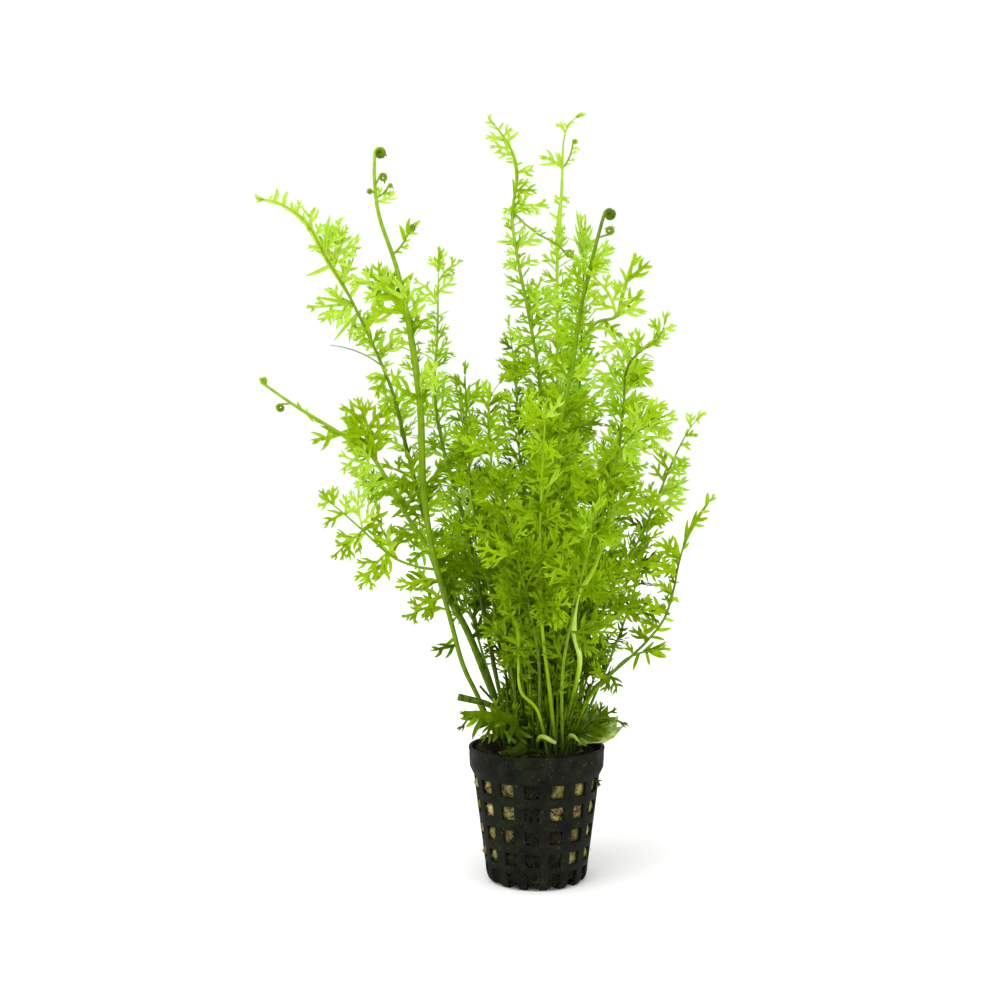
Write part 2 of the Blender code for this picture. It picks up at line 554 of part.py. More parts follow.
class Pinna:
    """One leaflet: where it leaves its stalk, where its tip is and how many lobe pairs it has."""

    def __init__(self, foot, tip, facing, pairs, spread, rng):
        self.foot = foot
        self.tip = tip
        self.pairs = pairs
        self.facing = facing
        self.spread = spread
        self.bow = rng.uniform(0.04, 0.12)
        self.lobe_tilts = [(rng.uniform(-0.25, 0.25), rng.uniform(-0.25, 0.25)) for _ in range(3)]
        self.lobe_sizes = [(rng.uniform(0.8, 1.15), rng.uniform(0.8, 1.15)) for _ in range(3)]

    def path(self):
        run = self.tip - self.foot
        rise = Vector((0.0, 0.0, 1.0)) * run.length * self.bow
        points = []
        for step in range(9):
            t = step / 8
            points.append(self.foot + run * t + rise * (4 * t * (1 - t)))
        return Path(points)

    def neck_at(self):
        return self.path().length * NECK_SHARE

    def neck_ring(self, body, path, distance, swell):
        return body.ring(
            path.place(distance), path.along(distance), self.facing,
            NECK_HALF_WIDTH + swell, BLADE_HALF_THICKNESS + swell,
        )

    def alone(self, starts_at, swell):
        """The leaflet by itself, from a distance along it."""
        body = Body()
        base = self.neck_ring(body, self.path(), starts_at, swell)
        self.grow(body, base, swell, starts_at)
        return body

    def grow(self, body, base, swell=0.0, starts_at=0.0):
        """Grow the leaflet from the base ring."""
        path = self.path()
        tip = self.tip + path.along(path.length) * swell
        if self.pairs == 0:
            body.point_over(base, tip)
            return
        if self.pairs == 1:
            self.grow_lobes(body, path, base, 0.0, swell)
            return
        neck_at = self.neck_at()
        neck = base
        if starts_at < neck_at:
            neck = self.neck_ring(body, path, neck_at, swell)
            body.walls(base, neck)
        if self.pairs == COIL:
            bud_at = path.length * 0.7
            half = BUD_HALF_WIDTH + swell
            bud = body.ring(path.place(bud_at), path.along(bud_at), self.facing, half, 0.6 * half)
            body.walls(neck, bud)
            body.point_over(bud, tip)
            return
        self.grow_lobes(body, path, neck, neck_at, swell)

    def grow_lobes(self, body, path, lower, lower_at, swell):
        """Grow the blade from its lowest ring, with a lobe on both sides of each step."""
        ends = BLADE_ENDS[self.pairs]
        for pair, end in enumerate(ends):
            upper_at = path.length * end
            half_width = (BLADE_HALF_WIDTH if pair == 0 else 0.75 * BLADE_HALF_WIDTH) + swell
            direction = path.along(upper_at)
            upper = body.ring(
                path.place(upper_at), direction, self.facing, half_width, BLADE_HALF_THICKNESS + swell
            )
            sides = body.walls(lower, upper, (0, 2))
            middle = path.place((lower_at + upper_at) / 2)
            for number, (_, face) in enumerate(sorted(sides.items())):
                body.point_over(face, self.lobe_tip(path, middle, direction, pair, number, swell))
            lower = upper
            lower_at = upper_at
        body.point_over(lower, self.tip + path.along(path.length) * swell)

    def lobe_tip(self, path, middle, direction, pair, number, swell):
        side, front = square_to(direction, self.facing)
        if number == 1:
            side = -side
        angle = math.radians(LOBE_ANGLES[pair]) * self.spread
        size = self.lobe_sizes[pair][number]
        reach = path.length * LOBE_SHARES[pair] * size + swell
        way = direction * math.cos(angle) + side * math.sin(angle)
        way += front * self.lobe_tilts[pair][number]
        return middle + way.normalized() * reach


class Stalk:
    """A frond: its stalk along a path, and the leaflets at sites on its two sides."""

    def __init__(self, name, spec):
        self.name = name
        self.spec = spec
        corners = [seen(*point) for point in spec.route]
        from_middle = math.hypot(corners[0].x - CROWN_CENTRE[0], corners[0].y - CROWN_CENTRE[1])
        if from_middle < CROWN_RADIUS:
            heading = (corners[1] - corners[0]).normalized()
            lean = math.hypot(heading.x, heading.y)
            half = spec.widths[0] / 2
            corners[0].z = crown_height(from_middle - half) + FOOT_GAP + lean * half
        route = smooth_through(corners)
        if spec.coil:
            radius, turns, way = spec.coil
            along = (route[-1] - route[-2]).normalized()
            side, _ = square_to(along, FRONT)
            route += coil_points(route[-1], along, side * way, radius, turns)
        self.path = Path(route)
        self.sites = {}
        self.outward = 1 if self.path.place(self.path.length).y < BACK_FROM else -1
        self.tree = self.bare().tree()
        # Trees of its leaflets: as they grow from the stalk, and without their first stretch
        self.leaflets = []
        self.free_ends = []

    def half_width(self, distance):
        share = distance / self.path.length
        return 0.5 * (self.spec.widths[0] * (1 - share) + self.spec.widths[1] * share)

    def ring(self, body, distance, swell=0.0):
        half = self.half_width(distance) + swell
        return body.ring(
            self.path.place(distance), self.path.along(distance), FRONT, half, STALK_DEPTH * half,
            STALK_RING if self.outward == 1 else BACK_STALK_RING,
        )

    def free_site(self, distance, side):
        """The nearest distance where a leaflet can grow on a side, or None."""
        for site, grown in self.sites.items():
            if abs(site - distance) < 2 * SITE + 0.2:
                return None if side in grown else site
        return distance

    def corner(self, side):
        """Number of the ring's corner where the side that a leaflet grows from starts."""
        return 0 if side == self.outward else 2

    def between(self, start, end):
        """Distances that keep the stalk close to its path from start to end, without the end."""
        middle = (start + end) / 2
        straight = (self.path.place(start) + self.path.place(end)) / 2
        if (self.path.place(middle) - straight).length < STALK_SAG:
            return [start]
        return self.between(start, middle) + self.between(middle, end)

    def stations(self):
        """Distances of the stalk's rings: both edges of each site, and steps between them."""
        marks = [0.0]
        for site in sorted(self.sites):
            marks += [site - SITE, site + SITE]
        marks.append(self.path.length)
        filled = []
        for start, end in zip(marks, marks[1:]):
            filled += self.between(start, end)
        if self.spec.cut:
            filled.append(self.path.length)
        return filled

    def bare(self):
        """The stalk alone, without its leaflets."""
        body = Body()
        lower = self.ring(body, 0.0)
        body.faces.append(list(reversed(lower)))
        for mark in self.between(0.0, self.path.length)[1:]:
            upper = self.ring(body, mark)
            body.walls(lower, upper)
            lower = upper
        body.point_over(lower, self.path.place(self.path.length))
        return body

    def leaflet_in_place(self, pinna, site, side, swell):
        """One leaflet as it grows from the stalk."""
        body = Body()
        lower = self.ring(body, site - SITE, swell)
        upper = self.ring(body, site + SITE, swell)
        corner = self.corner(side)
        face = body.walls(lower, upper, [corner])[corner]
        body.faces.clear()
        pinna.grow(body, base_ring(face, side), swell)
        return body

    def build(self):
        body = Body()
        marks = self.stations()
        lower = self.ring(body, marks[0])
        body.faces.append(list(reversed(lower)))
        for start, end in zip(marks, marks[1:]):
            site = next((key for key in self.sites if abs(key - (start + end) / 2) < 0.01), None)
            grown = self.sites.get(site, {})
            upper = self.ring(body, end)
            sides = body.walls(lower, upper, [self.corner(side) for side in grown])
            for side, pinna in grown.items():
                pinna.grow(body, base_ring(sides[self.corner(side)], side))
            lower = upper
        if self.spec.cut:
            body.faces.append(lower)
        else:
            body.point_over(lower, self.path.place(self.path.length))
        return body


def base_ring(face, side):
    """The corners of an open side, in the order that a ring growing out of it has."""
    return face if side == 1 else face[2:] + face[:2]


def swung(offset, axis, angle):
    return Matrix.Rotation(math.radians(angle), 3, axis) @ offset


def is_clear(pinna, stalk, plant, site, side):
    """Whether a leaflet would clear the plant's stalks and the leaflets that it has already."""
    past_neck = pinna.alone(pinna.neck_at(), CLEARANCE).tree()
    if past_neck.overlap(stalk.tree):
        return False
    free_end = pinna.alone(FIRST_REACH, CLEARANCE).tree()
    if any(free_end.overlap(tree) for tree in stalk.free_ends):
        return False
    whole = stalk.leaflet_in_place(pinna, site, side, CLEARANCE).tree()
    for other in plant:
        if other is not stalk and any(whole.overlap(tree) for tree in [other.tree, *other.leaflets]):
            return False
    return True


def try_pinna(stalk, plant, distance, offset, pairs, rng_name):
    """Grow one leaflet where it is clear of everything else, swung or shortened if need be."""
    along = stalk.path.along(distance)
    side_axis, _ = square_to(along, FRONT)
    side = 1 if offset.dot(side_axis) > 0 else -1
    site = stalk.free_site(distance, side)
    if site is None or not 2 * SITE < site < stalk.path.length - 2 * SITE:
        return
    foot = stalk.path.place(site) + side_axis * side * stalk.half_width(site) * FOOT_SHARE
    for reach in REACHES:
        for swing in SWINGS:
            turn = -swing * side * stalk.outward
            pinna = Pinna(
                foot, foot + swung(offset * reach, along, turn), swung(FRONT, along, turn), pairs,
                min(1.0, along.angle(offset) / FULL_SPREAD), random.Random(rng_name),
            )
            if not is_clear(pinna, stalk, plant, site, side):
                continue
            stalk.sites.setdefault(site, {})[side] = pinna
            if not stalk.build().crosses_itself():
                stalk.leaflets.append(stalk.leaflet_in_place(pinna, site, side, 0.0).tree())
                stalk.free_ends.append(pinna.alone(FIRST_REACH, 0.0).tree())
                return
            del stalk.sites[site][side]
            if not stalk.sites[site]:
                del stalk.sites[site]


def grow_named_pinnae(stalk, plant):
    for number, (x0, z0, x1, z1, lean, pairs) in enumerate(stalk.spec.pinnae):
        back = min(stalk.path.points, key=lambda point: abs(point.x - x0) + abs(point.z - z0)).y
        distance = stalk.path.nearest(seen(x0, z0, back))
        offset = seen(x1, z1, back + lean) - stalk.path.place(distance)
        try_pinna(stalk, plant, distance, offset, pairs, f"{stalk.name} {number}")


def grow_fill(stalk, plant):
    """Grow the plain pairs of leaflets, shorter towards the tip."""
    if stalk.spec.fill is None:
        return
    first, last, count, reach = stalk.spec.fill
    rng = random.Random(stalk.name)
    for number in range(count):
        share = first + (last - first) * (number + 0.5) / count
        for side in (-1, 1):
            distance = stalk.path.length * (share + rng.uniform(-0.01, 0.01))
            along = stalk.path.along(distance)
            side_axis, _ = square_to(along, FRONT)
            angle = math.radians(FILL_ANGLE + rng.uniform(-12, 12))
            length = reach * (1.15 - 0.6 * number / count) * rng.uniform(0.85, 1.15)
            way = along * math.cos(angle) + side_axis * side * math.sin(angle)
            turn = -rng.uniform(*FILL_TWISTS) * side * stalk.outward
            offset = swung(way * length, along, turn)
            pairs = 2 if (number + (side > 0)) % 4 == 0 else 1
            name = f"{stalk.name} fill {number} {side}"
            try_pinna(stalk, plant, distance, offset, pairs, name)


def fronds(finish):
    plant = [Stalk(name, spec) for name, spec in FRONDS.items()]
    for stalk in plant:
        grow_named_pinnae(stalk, plant)
    for stalk in plant:
        grow_fill(stalk, plant)
    for stalk in plant:
        body = stalk.build()
        add_object(stalk.name, body.points, body.faces, finish)


def build():
    clear_scene()
    pot_plastic = material("pot_plastic", (0.022, 0.024, 0.020), 0.55)
    wool = material("wool", (0.36, 0.30, 0.16), 0.95)
    stock = material("crown_stock", (0.055, 0.050, 0.025), 0.85)
    leaf = material("leaf", (0.26, 0.50, 0.03), 0.5)
    net_pot(pot_plastic)
    rock_wool(wool)
    crown(stock)
    fronds(leaf)


build()
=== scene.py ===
import json
import math
import random
from bisect import bisect_right
from collections import namedtuple

import bpy
from mathutils import Matrix, Vector, noise

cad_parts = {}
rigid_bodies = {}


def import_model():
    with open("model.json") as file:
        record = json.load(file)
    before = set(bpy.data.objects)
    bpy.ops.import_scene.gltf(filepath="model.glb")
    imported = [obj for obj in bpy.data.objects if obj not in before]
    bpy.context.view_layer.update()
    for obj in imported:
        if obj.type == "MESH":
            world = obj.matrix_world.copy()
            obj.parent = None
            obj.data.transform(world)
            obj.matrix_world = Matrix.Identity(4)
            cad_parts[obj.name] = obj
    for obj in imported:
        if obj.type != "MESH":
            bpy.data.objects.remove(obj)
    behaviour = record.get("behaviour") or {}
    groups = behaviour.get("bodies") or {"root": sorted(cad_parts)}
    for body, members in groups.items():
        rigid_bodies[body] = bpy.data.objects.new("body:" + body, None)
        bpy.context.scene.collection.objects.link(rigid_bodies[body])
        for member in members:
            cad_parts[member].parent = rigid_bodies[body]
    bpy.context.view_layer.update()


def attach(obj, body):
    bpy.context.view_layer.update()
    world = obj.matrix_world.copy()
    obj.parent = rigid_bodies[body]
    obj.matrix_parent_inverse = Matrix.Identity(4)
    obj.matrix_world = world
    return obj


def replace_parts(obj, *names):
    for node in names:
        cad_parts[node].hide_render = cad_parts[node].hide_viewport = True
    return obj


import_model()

# Net pot: one basket of black polypropylene, moulded in one shot. Fifteen equal columns of window
# slots run down its tapered wall and round its foot, under a plain rim band with a thin lip.
MM = 0.001
POT_COLUMNS = 15
FIRST_WINDOW = math.radians(-30.0)
COLUMN_STEP = 2 * math.pi / POT_COLUMNS
HALF_WINDOW = math.radians(6.75)
POT_WALL = 1.2
# Radius and height of the outer skin, from the lip down to the middle of the underside
POT_SKIN = [
    (25.95, 50.5), (26.0, 50.1), (26.0, 49.6), (25.82, 49.2), (25.72, 46.0), (25.6, 43.2),
    (25.35, 42.55), (24.4, 40.6), (24.0, 39.95), (23.9, 39.7), (23.35, 34.8), (22.95, 31.5),
    (22.25, 26.3), (21.75, 22.5), (21.1, 17.5), (20.6, 13.8), (20.0, 9.0), (19.65, 6.5),
    (19.35, 3.4), (18.95, 1.6), (18.2, 0.5), (17.2, 0.0), (10.5, 0.0), (5.0, 0.0),
]
# Rings of the skin between which a window is left open: four rows in the wall, and the foot's slots
POT_WINDOWS = [(9, 10), (11, 12), (13, 14), (15, 16), (17, 22)]
WALL_ROWS = 4


def put_in_scene(name, data):
    """Make an object of a mesh, a lamp or a camera."""
    made = bpy.data.objects.new(name, data)
    bpy.context.scene.collection.objects.link(made)
    return made


def add_piece(name, points, faces, finish):
    """Make an object from points in millimetres, and lists of the points round each face."""
    mesh = bpy.data.meshes.new(name)
    mesh.from_pydata([tuple(Vector(point) * MM) for point in points], [], faces)
    mesh.materials.append(finish)
    mesh.shade_smooth()
    return put_in_scene(name, mesh)


def round_place(radius, angle, height):
    """The point at this radius and height, at an angle that is 0 in front and grows to the right."""
    return radius * math.sin(angle), -radius * math.cos(angle), height


def add_node(tree, kind, inputs=None, **settings):
    """Add a node, set it up, and feed its inputs, by name or number, from sockets or values."""
    node = tree.nodes.new(kind)
    for setting, value in settings.items():
        setattr(node, setting, value)
    for key, value in (inputs or {}).items():
        if isinstance(value, bpy.types.NodeSocket):
            tree.links.new(value, node.inputs[key])
        else:
            node.inputs[key].default_value = value
    return node


def output_of(tree, kind, inputs=None, output=0, **settings):
    """An output of a new node: the first, unless another is named."""
    return add_node(tree, kind, inputs, **settings).outputs[output]


def maths(tree, operation, *values):
    """The output of a new arithmetic node."""
    return output_of(tree, "ShaderNodeMath", dict(enumerate(values)), operation=operation)


def new_tree(name, sockets):
    """A geometry tree that takes a mesh and the named sockets, with its two end nodes."""
    tree = bpy.data.node_groups.new(name, "GeometryNodeTree")
    tree.interface.new_socket("Mesh", in_out="INPUT", socket_type="NodeSocketGeometry")
    tree.interface.new_socket("Mesh", in_out="OUTPUT", socket_type="NodeSocketGeometry")
    for socket, kind in sockets.items():
        tree.interface.new_socket(socket, in_out="INPUT", socket_type=f"NodeSocket{kind}")
    return tree, tree.nodes.new("NodeGroupInput").outputs, tree.nodes.new("NodeGroupOutput").inputs


def grown_by(tree, made, **values):
    """Run a geometry tree on an object and keep the result as its plain mesh."""
    grow = made.modifiers.new("grow", "NODES")
    grow.node_group = tree
    for socket in tree.interface.items_tree:
        if socket.in_out == "INPUT" and socket.name in values:
            grow[socket.identifier] = values[socket.name]
    bpy.context.view_layer.update()
    depsgraph = bpy.context.evaluated_depsgraph_get()
    mesh = bpy.data.meshes.new_from_object(made.evaluated_get(depsgraph))
    made.modifiers.remove(grow)
    made.data = mesh
    mesh.name = made.name
    return made


def new_finish(name, roughness, shine=0.5):
    """A material with its Principled shader, and its tree to build on."""
    finish = bpy.data.materials.new(name)
    finish.use_nodes = True
    shader = finish.node_tree.nodes["Principled BSDF"]
    shader.inputs["Roughness"].default_value = roughness
    shader.inputs["Specular IOR Level"].default_value = shine
    return finish, finish.node_tree, shader


def object_noise(tree, scale, detail=3.0, stretch=None):
    """Noise that is fixed to the object, of about this many patches to the metre."""
    place = output_of(tree, "ShaderNodeTexCoord", output="Object")
    if stretch:
        place = output_of(tree, "ShaderNodeMapping", {"Vector": place, "Scale": stretch})
    noise_inputs = {"Vector": place, "Scale": scale, "Detail": detail}
    return output_of(tree, "ShaderNodeTexNoise", noise_inputs, "Fac")


def roughen(tree, shader, height, strength, distance):
    """Give a surface its fine bumps."""
    bump = {"Height": height, "Strength": strength, "Distance": distance}
    tree.links.new(output_of(tree, "ShaderNodeBump", bump, "Normal"), shader.inputs["Normal"])


def ramp(tree, value, *stops):
    """A colour or grey that changes with a value through the given stops."""
    node = add_node(tree, "ShaderNodeValToRGB", {"Fac": value})
    elements = node.color_ramp.elements
    while len(elements) < len(stops):
        elements.new(0.5)
    for element, (position, colour) in zip(elements, stops):
        element.position = position
        element.color = (*colour, 1.0) if isinstance(colour, tuple) else (colour, colour, colour, 1.0)
    return node.outputs["Color"]


def blend_colours(tree, share, under, over):
    """A mix of two colours: the first where the share is 0, the second where it is 1."""
    if not isinstance(under, bpy.types.NodeSocket):
        under = (*under, 1.0)
    if not isinstance(over, bpy.types.NodeSocket):
        over = (*over, 1.0)
    return output_of(tree, "ShaderNodeMix", {0: share, 6: under, 7: over}, 2, data_type="RGBA")


def new_shader_group(name, inputs, outputs):
    """A shader node group with named sockets, and its two end nodes' sockets."""
    group = bpy.data.node_groups.new(name, "ShaderNodeTree")
    for socket, kind in inputs.items():
        group.interface.new_socket(socket, in_out="INPUT", socket_type=f"NodeSocket{kind}")
    for socket, kind in outputs.items():
        group.interface.new_socket(socket, in_out="OUTPUT", socket_type=f"NodeSocket{kind}")
    return group, group.nodes.new("NodeGroupInput").outputs, group.nodes.new("NodeGroupOutput").inputs


# Dried dirt, for every surface in the pot: blotches of silt with fine grains of lime on them
silt, silt_in, silt_out = new_shader_group(
    "silt", {"Amount": "Float", "Patch scale": "Float", "Grain scale": "Float"},
    {"Silt": "Float", "Grains": "Float"},
)
silt_place = output_of(silt, "ShaderNodeTexCoord", output="Object")
silt_patches = output_of(silt, "ShaderNodeTexNoise", {
    "Vector": silt_place, "Scale": silt_in["Patch scale"], "Detail": 5.0, "Roughness": 0.65,
}, "Fac")
silt_grains = output_of(silt, "ShaderNodeTexVoronoi", {
    "Vector": silt_place, "Scale": silt_in["Grain scale"],
}, "Distance")
silt_edge = output_of(silt, "ShaderNodeMapRange", {
    "Value": silt_patches, "From Min": 0.40, "From Max": 0.66, "To Max": silt_in["Amount"],
})
grain_dots = output_of(silt, "ShaderNodeMapRange", {
    "Value": silt_grains, "From Min": 0.12, "From Max": 0.05, "To Min": 0.0, "To Max": 1.0,
})
silt.links.new(silt_edge, silt_out["Silt"])
silt.links.new(maths(silt, "MULTIPLY", grain_dots, silt_edge), silt_out["Grains"])


def silted(tree, amount, patches, grains):
    """The outputs of the silt group in a material, with its patches and grains to the metre."""
    return add_node(tree, "ShaderNodeGroup", {
        "Amount": amount, "Patch scale": patches, "Grain scale": grains,
    }, node_tree=silt).outputs


pot_plastic, pot_tree, pot_shader = new_finish("pot_black_plastic", 0.5, 0.03)
pot_silt = silted(pot_tree, 0.75, 190.0, 640.0)
pot_black = ramp(
    pot_tree, object_noise(pot_tree, 60.0),
    (0.35, (0.0036, 0.0040, 0.0036)), (0.65, (0.0090, 0.0096, 0.0078)),
)
pot_dusty = blend_colours(pot_tree, pot_silt["Silt"], pot_black, (0.019, 0.023, 0.010))
pot_tree.links.new(
    blend_colours(pot_tree, pot_silt["Grains"], pot_dusty, (0.40, 0.42, 0.36)),
    pot_shader.inputs["Base Color"],
)
pot_tree.links.new(
    ramp(pot_tree, pot_silt["Silt"], (0.0, 0.42), (0.7, 0.85)), pot_shader.inputs["Roughness"]
)
roughen(pot_tree, pot_shader, object_noise(pot_tree, 1400.0), 0.35, 0.0002)

# The whole pot from one column: turned copies are joined along their edges
columns, columns_in, columns_out = new_tree(
    "pot_columns", {"Columns": "Int", "Step": "Float", "First": "Float", "Plastic": "Material"},
)
column_turn = maths(
    columns, "MULTIPLY_ADD", output_of(columns, "GeometryNodeInputIndex"),
    columns_in["Step"], columns_in["First"],
)
column_copies = output_of(columns, "GeometryNodeInstanceOnPoints", {
    "Points": output_of(columns, "GeometryNodePoints", {"Count": columns_in["Columns"]}),
    "Instance": columns_in["Mesh"],
    "Rotation": output_of(columns, "ShaderNodeCombineXYZ", {"Z": column_turn}),
})
joined_columns = output_of(columns, "GeometryNodeMergeByDistance", {
    "Geometry": output_of(columns, "GeometryNodeRealizeInstances", {0: column_copies}),
    "Distance": 0.02 * MM,
})
finished_columns = output_of(columns, "GeometryNodeSetMaterial", {
    "Geometry": joined_columns, "Material": columns_in["Plastic"],
})
columns.links.new(finished_columns, columns_out[0])

# The window takes up the middle four of the eight steps across a column
column_angles = [math.radians(degrees) for degrees in (-12, -9.4, -6.75, -3.4, 0, 3.4, 6.75, 9.4, 12)]
WINDOW_STEPS = range(2, 6)
column_points = [
    round_place(radius, angle, height) for radius, height in POT_SKIN for angle in column_angles
] + [(0.0, 0.0, 0.0)]
column_faces = []
for ring in range(len(POT_SKIN) - 1):
    in_window = any(top <= ring < bottom for top, bottom in POT_WINDOWS)
    for step in range(len(column_angles) - 1):
        if in_window and step in WINDOW_STEPS:
            continue
        upper = ring * len(column_angles) + step
        lower = upper + len(column_angles)
        column_faces.append((upper, lower, lower + 1, upper + 1))
for step in range(len(column_angles) - 1):
    last = (len(POT_SKIN) - 1) * len(column_angles) + step
    column_faces.append((last, len(column_points) - 1, last + 1))
pot = add_piece("pot_basket", column_points, column_faces, pot_plastic)
grown_by(
    columns, pot, Columns=POT_COLUMNS, Step=COLUMN_STEP, First=FIRST_WINDOW, Plastic=pot_plastic
)
pot_wall = pot.modifiers.new("wall", "SOLIDIFY")
pot_wall.thickness = POT_WALL * MM
pot_wall.offset = -1.0
pot_wall.use_even_offset = True
pot_edges = pot.modifiers.new("moulded edges", "BEVEL")
pot_edges.width = 0.28 * MM
pot_edges.segments = 2
pot_edges.limit_method = "ANGLE"
pot_edges.angle_limit = math.radians(38)
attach(pot, "root")
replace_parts(pot, "net_pot")


# Rock wool: a plug of spun mineral fibre, pushed down round the roots. It swells a little into every
# window, and silt, algae and roots have stained it. The front and the lower left are dark with dirt.
WOOL_FOOT = 1.8
WOOL_SHOULDER = 45.9
WOOL_TOP = 48.4
WOOL_RADIUS = 24.0
WOOL_SIDES = 180
WOOL_STEPS = 60
WOOL_STEP = 0.75


def clamped(value):
    """The value, or the nearest of 0 and 1 if it lies past them."""
    return min(1.0, max(0.0, value))


def ring_faces(first, rings, sides, closed=True):
    """Four-cornered faces between rings of points, all round or, on an open sheet, short of that."""
    return [
        (low + side, low + (side + 1) % sides, low + sides + (side + 1) % sides, low + sides + side)
        for low in range(first, first + sides * (rings - 1), sides)
        for side in range(sides if closed else sides - 1)
    ]


def add_values(made, name, values, kind="FLOAT"):
    """Give every point of an object's mesh a named value."""
    layer = made.data.attributes.new(name, kind, "POINT")
    if kind == "FLOAT_VECTOR":
        layer.data.foreach_set("vector", [number for value in values for number in value])
    else:
        layer.data.foreach_set("value", values)


def pot_radius(height):
    """Inside radius of the pot's wall at a height."""
    for (upper_radius, upper), (lower_radius, lower) in zip(POT_SKIN, POT_SKIN[1:]):
        if lower <= height <= upper:
            share = (height - lower) / max(upper - lower, 0.001)
            return lower_radius + share * (upper_radius - lower_radius) - POT_WALL
    return POT_SKIN[0][0] - POT_WALL


def window_share(angle, height):
    """How far inside a window this place on the wall is, from 0 on a bar to 1 in its middle."""
    off_column = (angle - FIRST_WINDOW + COLUMN_STEP / 2) % COLUMN_STEP - COLUMN_STEP / 2
    across = max(0.0, 1 - (off_column / HALF_WINDOW) ** 2)
    for top, bottom in POT_WINDOWS[:WALL_ROWS]:
        middle = (POT_SKIN[top][1] + POT_SKIN[bottom][1]) / 2
        half = (POT_SKIN[top][1] - POT_SKIN[bottom][1]) / 2
        if abs(height - middle) < half:
            return across * (1 - ((height - middle) / half) ** 2)
    return 0.0


def dirt_share(angle, height):
    """How dirty the wool is at a place on the wall: most in the front and at the lower left."""
    low = max(0.0, 29 - height)
    front = math.exp(-(math.degrees(angle) + 5 - 0.35 * low) ** 2 / (330 + 14 * low)) * (1.15 - height / 90)
    left = math.exp(-((math.degrees(angle) + 40) / 26) ** 2) * max(0.0, 1.2 - height / 14)
    blot = noise.noise(Vector((3.2 * angle, height / 9, 7.0)))
    bottom = 0.9 * clamped((10 - height) / 3)
    return clamped(1.35 * max(front, left, bottom) + 0.45 * blot - 0.1)


def point_value(tree, name):
    """In a material, the value that the points of the mesh have under this name."""
    return output_of(tree, "ShaderNodeAttribute", output="Fac", attribute_name=name)


def heap_height(x):
    """How much higher the wool stands at the left of the rim."""
    return 0.72 * max(0.0, -15.5 - x)


wool_points = []
wool_dirt = []
wool_angles = [2 * math.pi * side / WOOL_SIDES - math.pi for side in range(WOOL_SIDES)]
for height in [WOOL_FOOT + step * WOOL_STEP for step in range(WOOL_STEPS)]:
    for angle in wool_angles:
        lump = noise.fractal(Vector((8 * math.cos(angle), 8 * math.sin(angle), height / 2.6)), 0.9, 2.1, 3)
        radius = pot_radius(max(height, 3.4)) - 0.45 + min(0.25, 0.3 * lump)
        swollen = 1.3 * math.exp(-((math.degrees(angle) + 80) / 24) ** 2)
        radius += window_share(angle, height) * (0.95 + 0.7 * lump + swollen)
        if height < 4:
            radius *= 0.80 + 0.05 * height
        wool_points.append(round_place(radius, angle, height))
        wool_dirt.append(dirt_share(angle, height))
for share in (0.97, 0.93, 0.88, 0.82, 0.76, 0.7, 0.63, 0.56, 0.49, 0.42, 0.35, 0.27, 0.19, 0.1):
    for angle in wool_angles:
        x, y, _ = round_place(share * WOOL_RADIUS, angle, 0.0)
        lump = noise.fractal(Vector((x / 3.2, y / 3.2, 4.0)), 0.8, 2.1, 4)
        rise = min(1.0, (1 - share) / 0.1)
        swollen = WOOL_TOP - WOOL_SHOULDER + heap_height(x) + 0.9 * lump
        wool_points.append((x, y, WOOL_SHOULDER + rise * swollen))
        wool_dirt.append(clamped(0.85 + 0.6 * noise.noise(Vector((x / 5, y / 5, 1.5)))))
wool_faces = [
    tuple(reversed(range(WOOL_SIDES))),
    *ring_faces(0, len(wool_points) // WOOL_SIDES, WOOL_SIDES),
    tuple(range(len(wool_points) - WOOL_SIDES, len(wool_points))),
]

wool_finish, wool_tree, wool_shader = new_finish("wool_stained_fibre", 0.95, 0.08)
wool_tan = ramp(
    wool_tree, object_noise(wool_tree, 420.0, 6.0),
    (0.30, (0.080, 0.058, 0.018)), (0.48, (0.350, 0.300, 0.095)), (0.68, (0.70, 0.64, 0.260)),
)
wool_olive = blend_colours(
    wool_tree, ramp(wool_tree, object_noise(wool_tree, 110.0), (0.48, 0.0), (0.60, 0.75)),
    wool_tan, (0.14, 0.15, 0.02),
)
wool_pink = blend_colours(
    wool_tree, ramp(wool_tree, object_noise(wool_tree, 150.0, 2.0), (0.54, 0.0), (0.66, 0.6)),
    wool_olive, (0.25, 0.12, 0.06),
)
wool_silted = blend_colours(
    wool_tree, silted(wool_tree, 0.8, 240.0, 1200.0)["Silt"], wool_pink, (0.075, 0.055, 0.022)
)
wool_dirty = maths(
    wool_tree, "ADD", point_value(wool_tree, "dirt"), object_noise(wool_tree, 300.0, 4.0)
)
wool_tree.links.new(
    blend_colours(
        wool_tree, ramp(wool_tree, wool_dirty, (0.62, 0.0), (0.95, 0.95)),
        wool_silted, (0.010, 0.008, 0.006),
    ),
    wool_shader.inputs["Base Color"],
)
roughen(wool_tree, wool_shader, object_noise(wool_tree, 1500.0, 8.0), 0.9, 0.0006)

wool = add_piece("wool_plug", wool_points, wool_faces, wool_finish)
add_values(wool, "dirt", wool_dirt)
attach(wool, "root")
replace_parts(wool, "rock_wool")


# Loose fibres of the wool, and crumbs of it and of dirt: too small for solids. They are strewn over
# the plug, and their shapes have a few faces each, because there are thousands of them.
strewn, strewn_in, strewn_out = new_tree("strewn_pieces", {
    "Density": "Float", "Seed": "Int", "Least size": "Float", "Most size": "Float",
    "Lean": "Float", "Shape": "Object", "Finish": "Material",
})


def stored(tree, name, data_type="FLOAT"):
    """In a geometry tree, the value that the points of the mesh have under this name."""
    node = add_node(tree, "GeometryNodeInputNamedAttribute", {"Name": name}, data_type=data_type)
    return next(output for output in node.outputs if output.enabled)


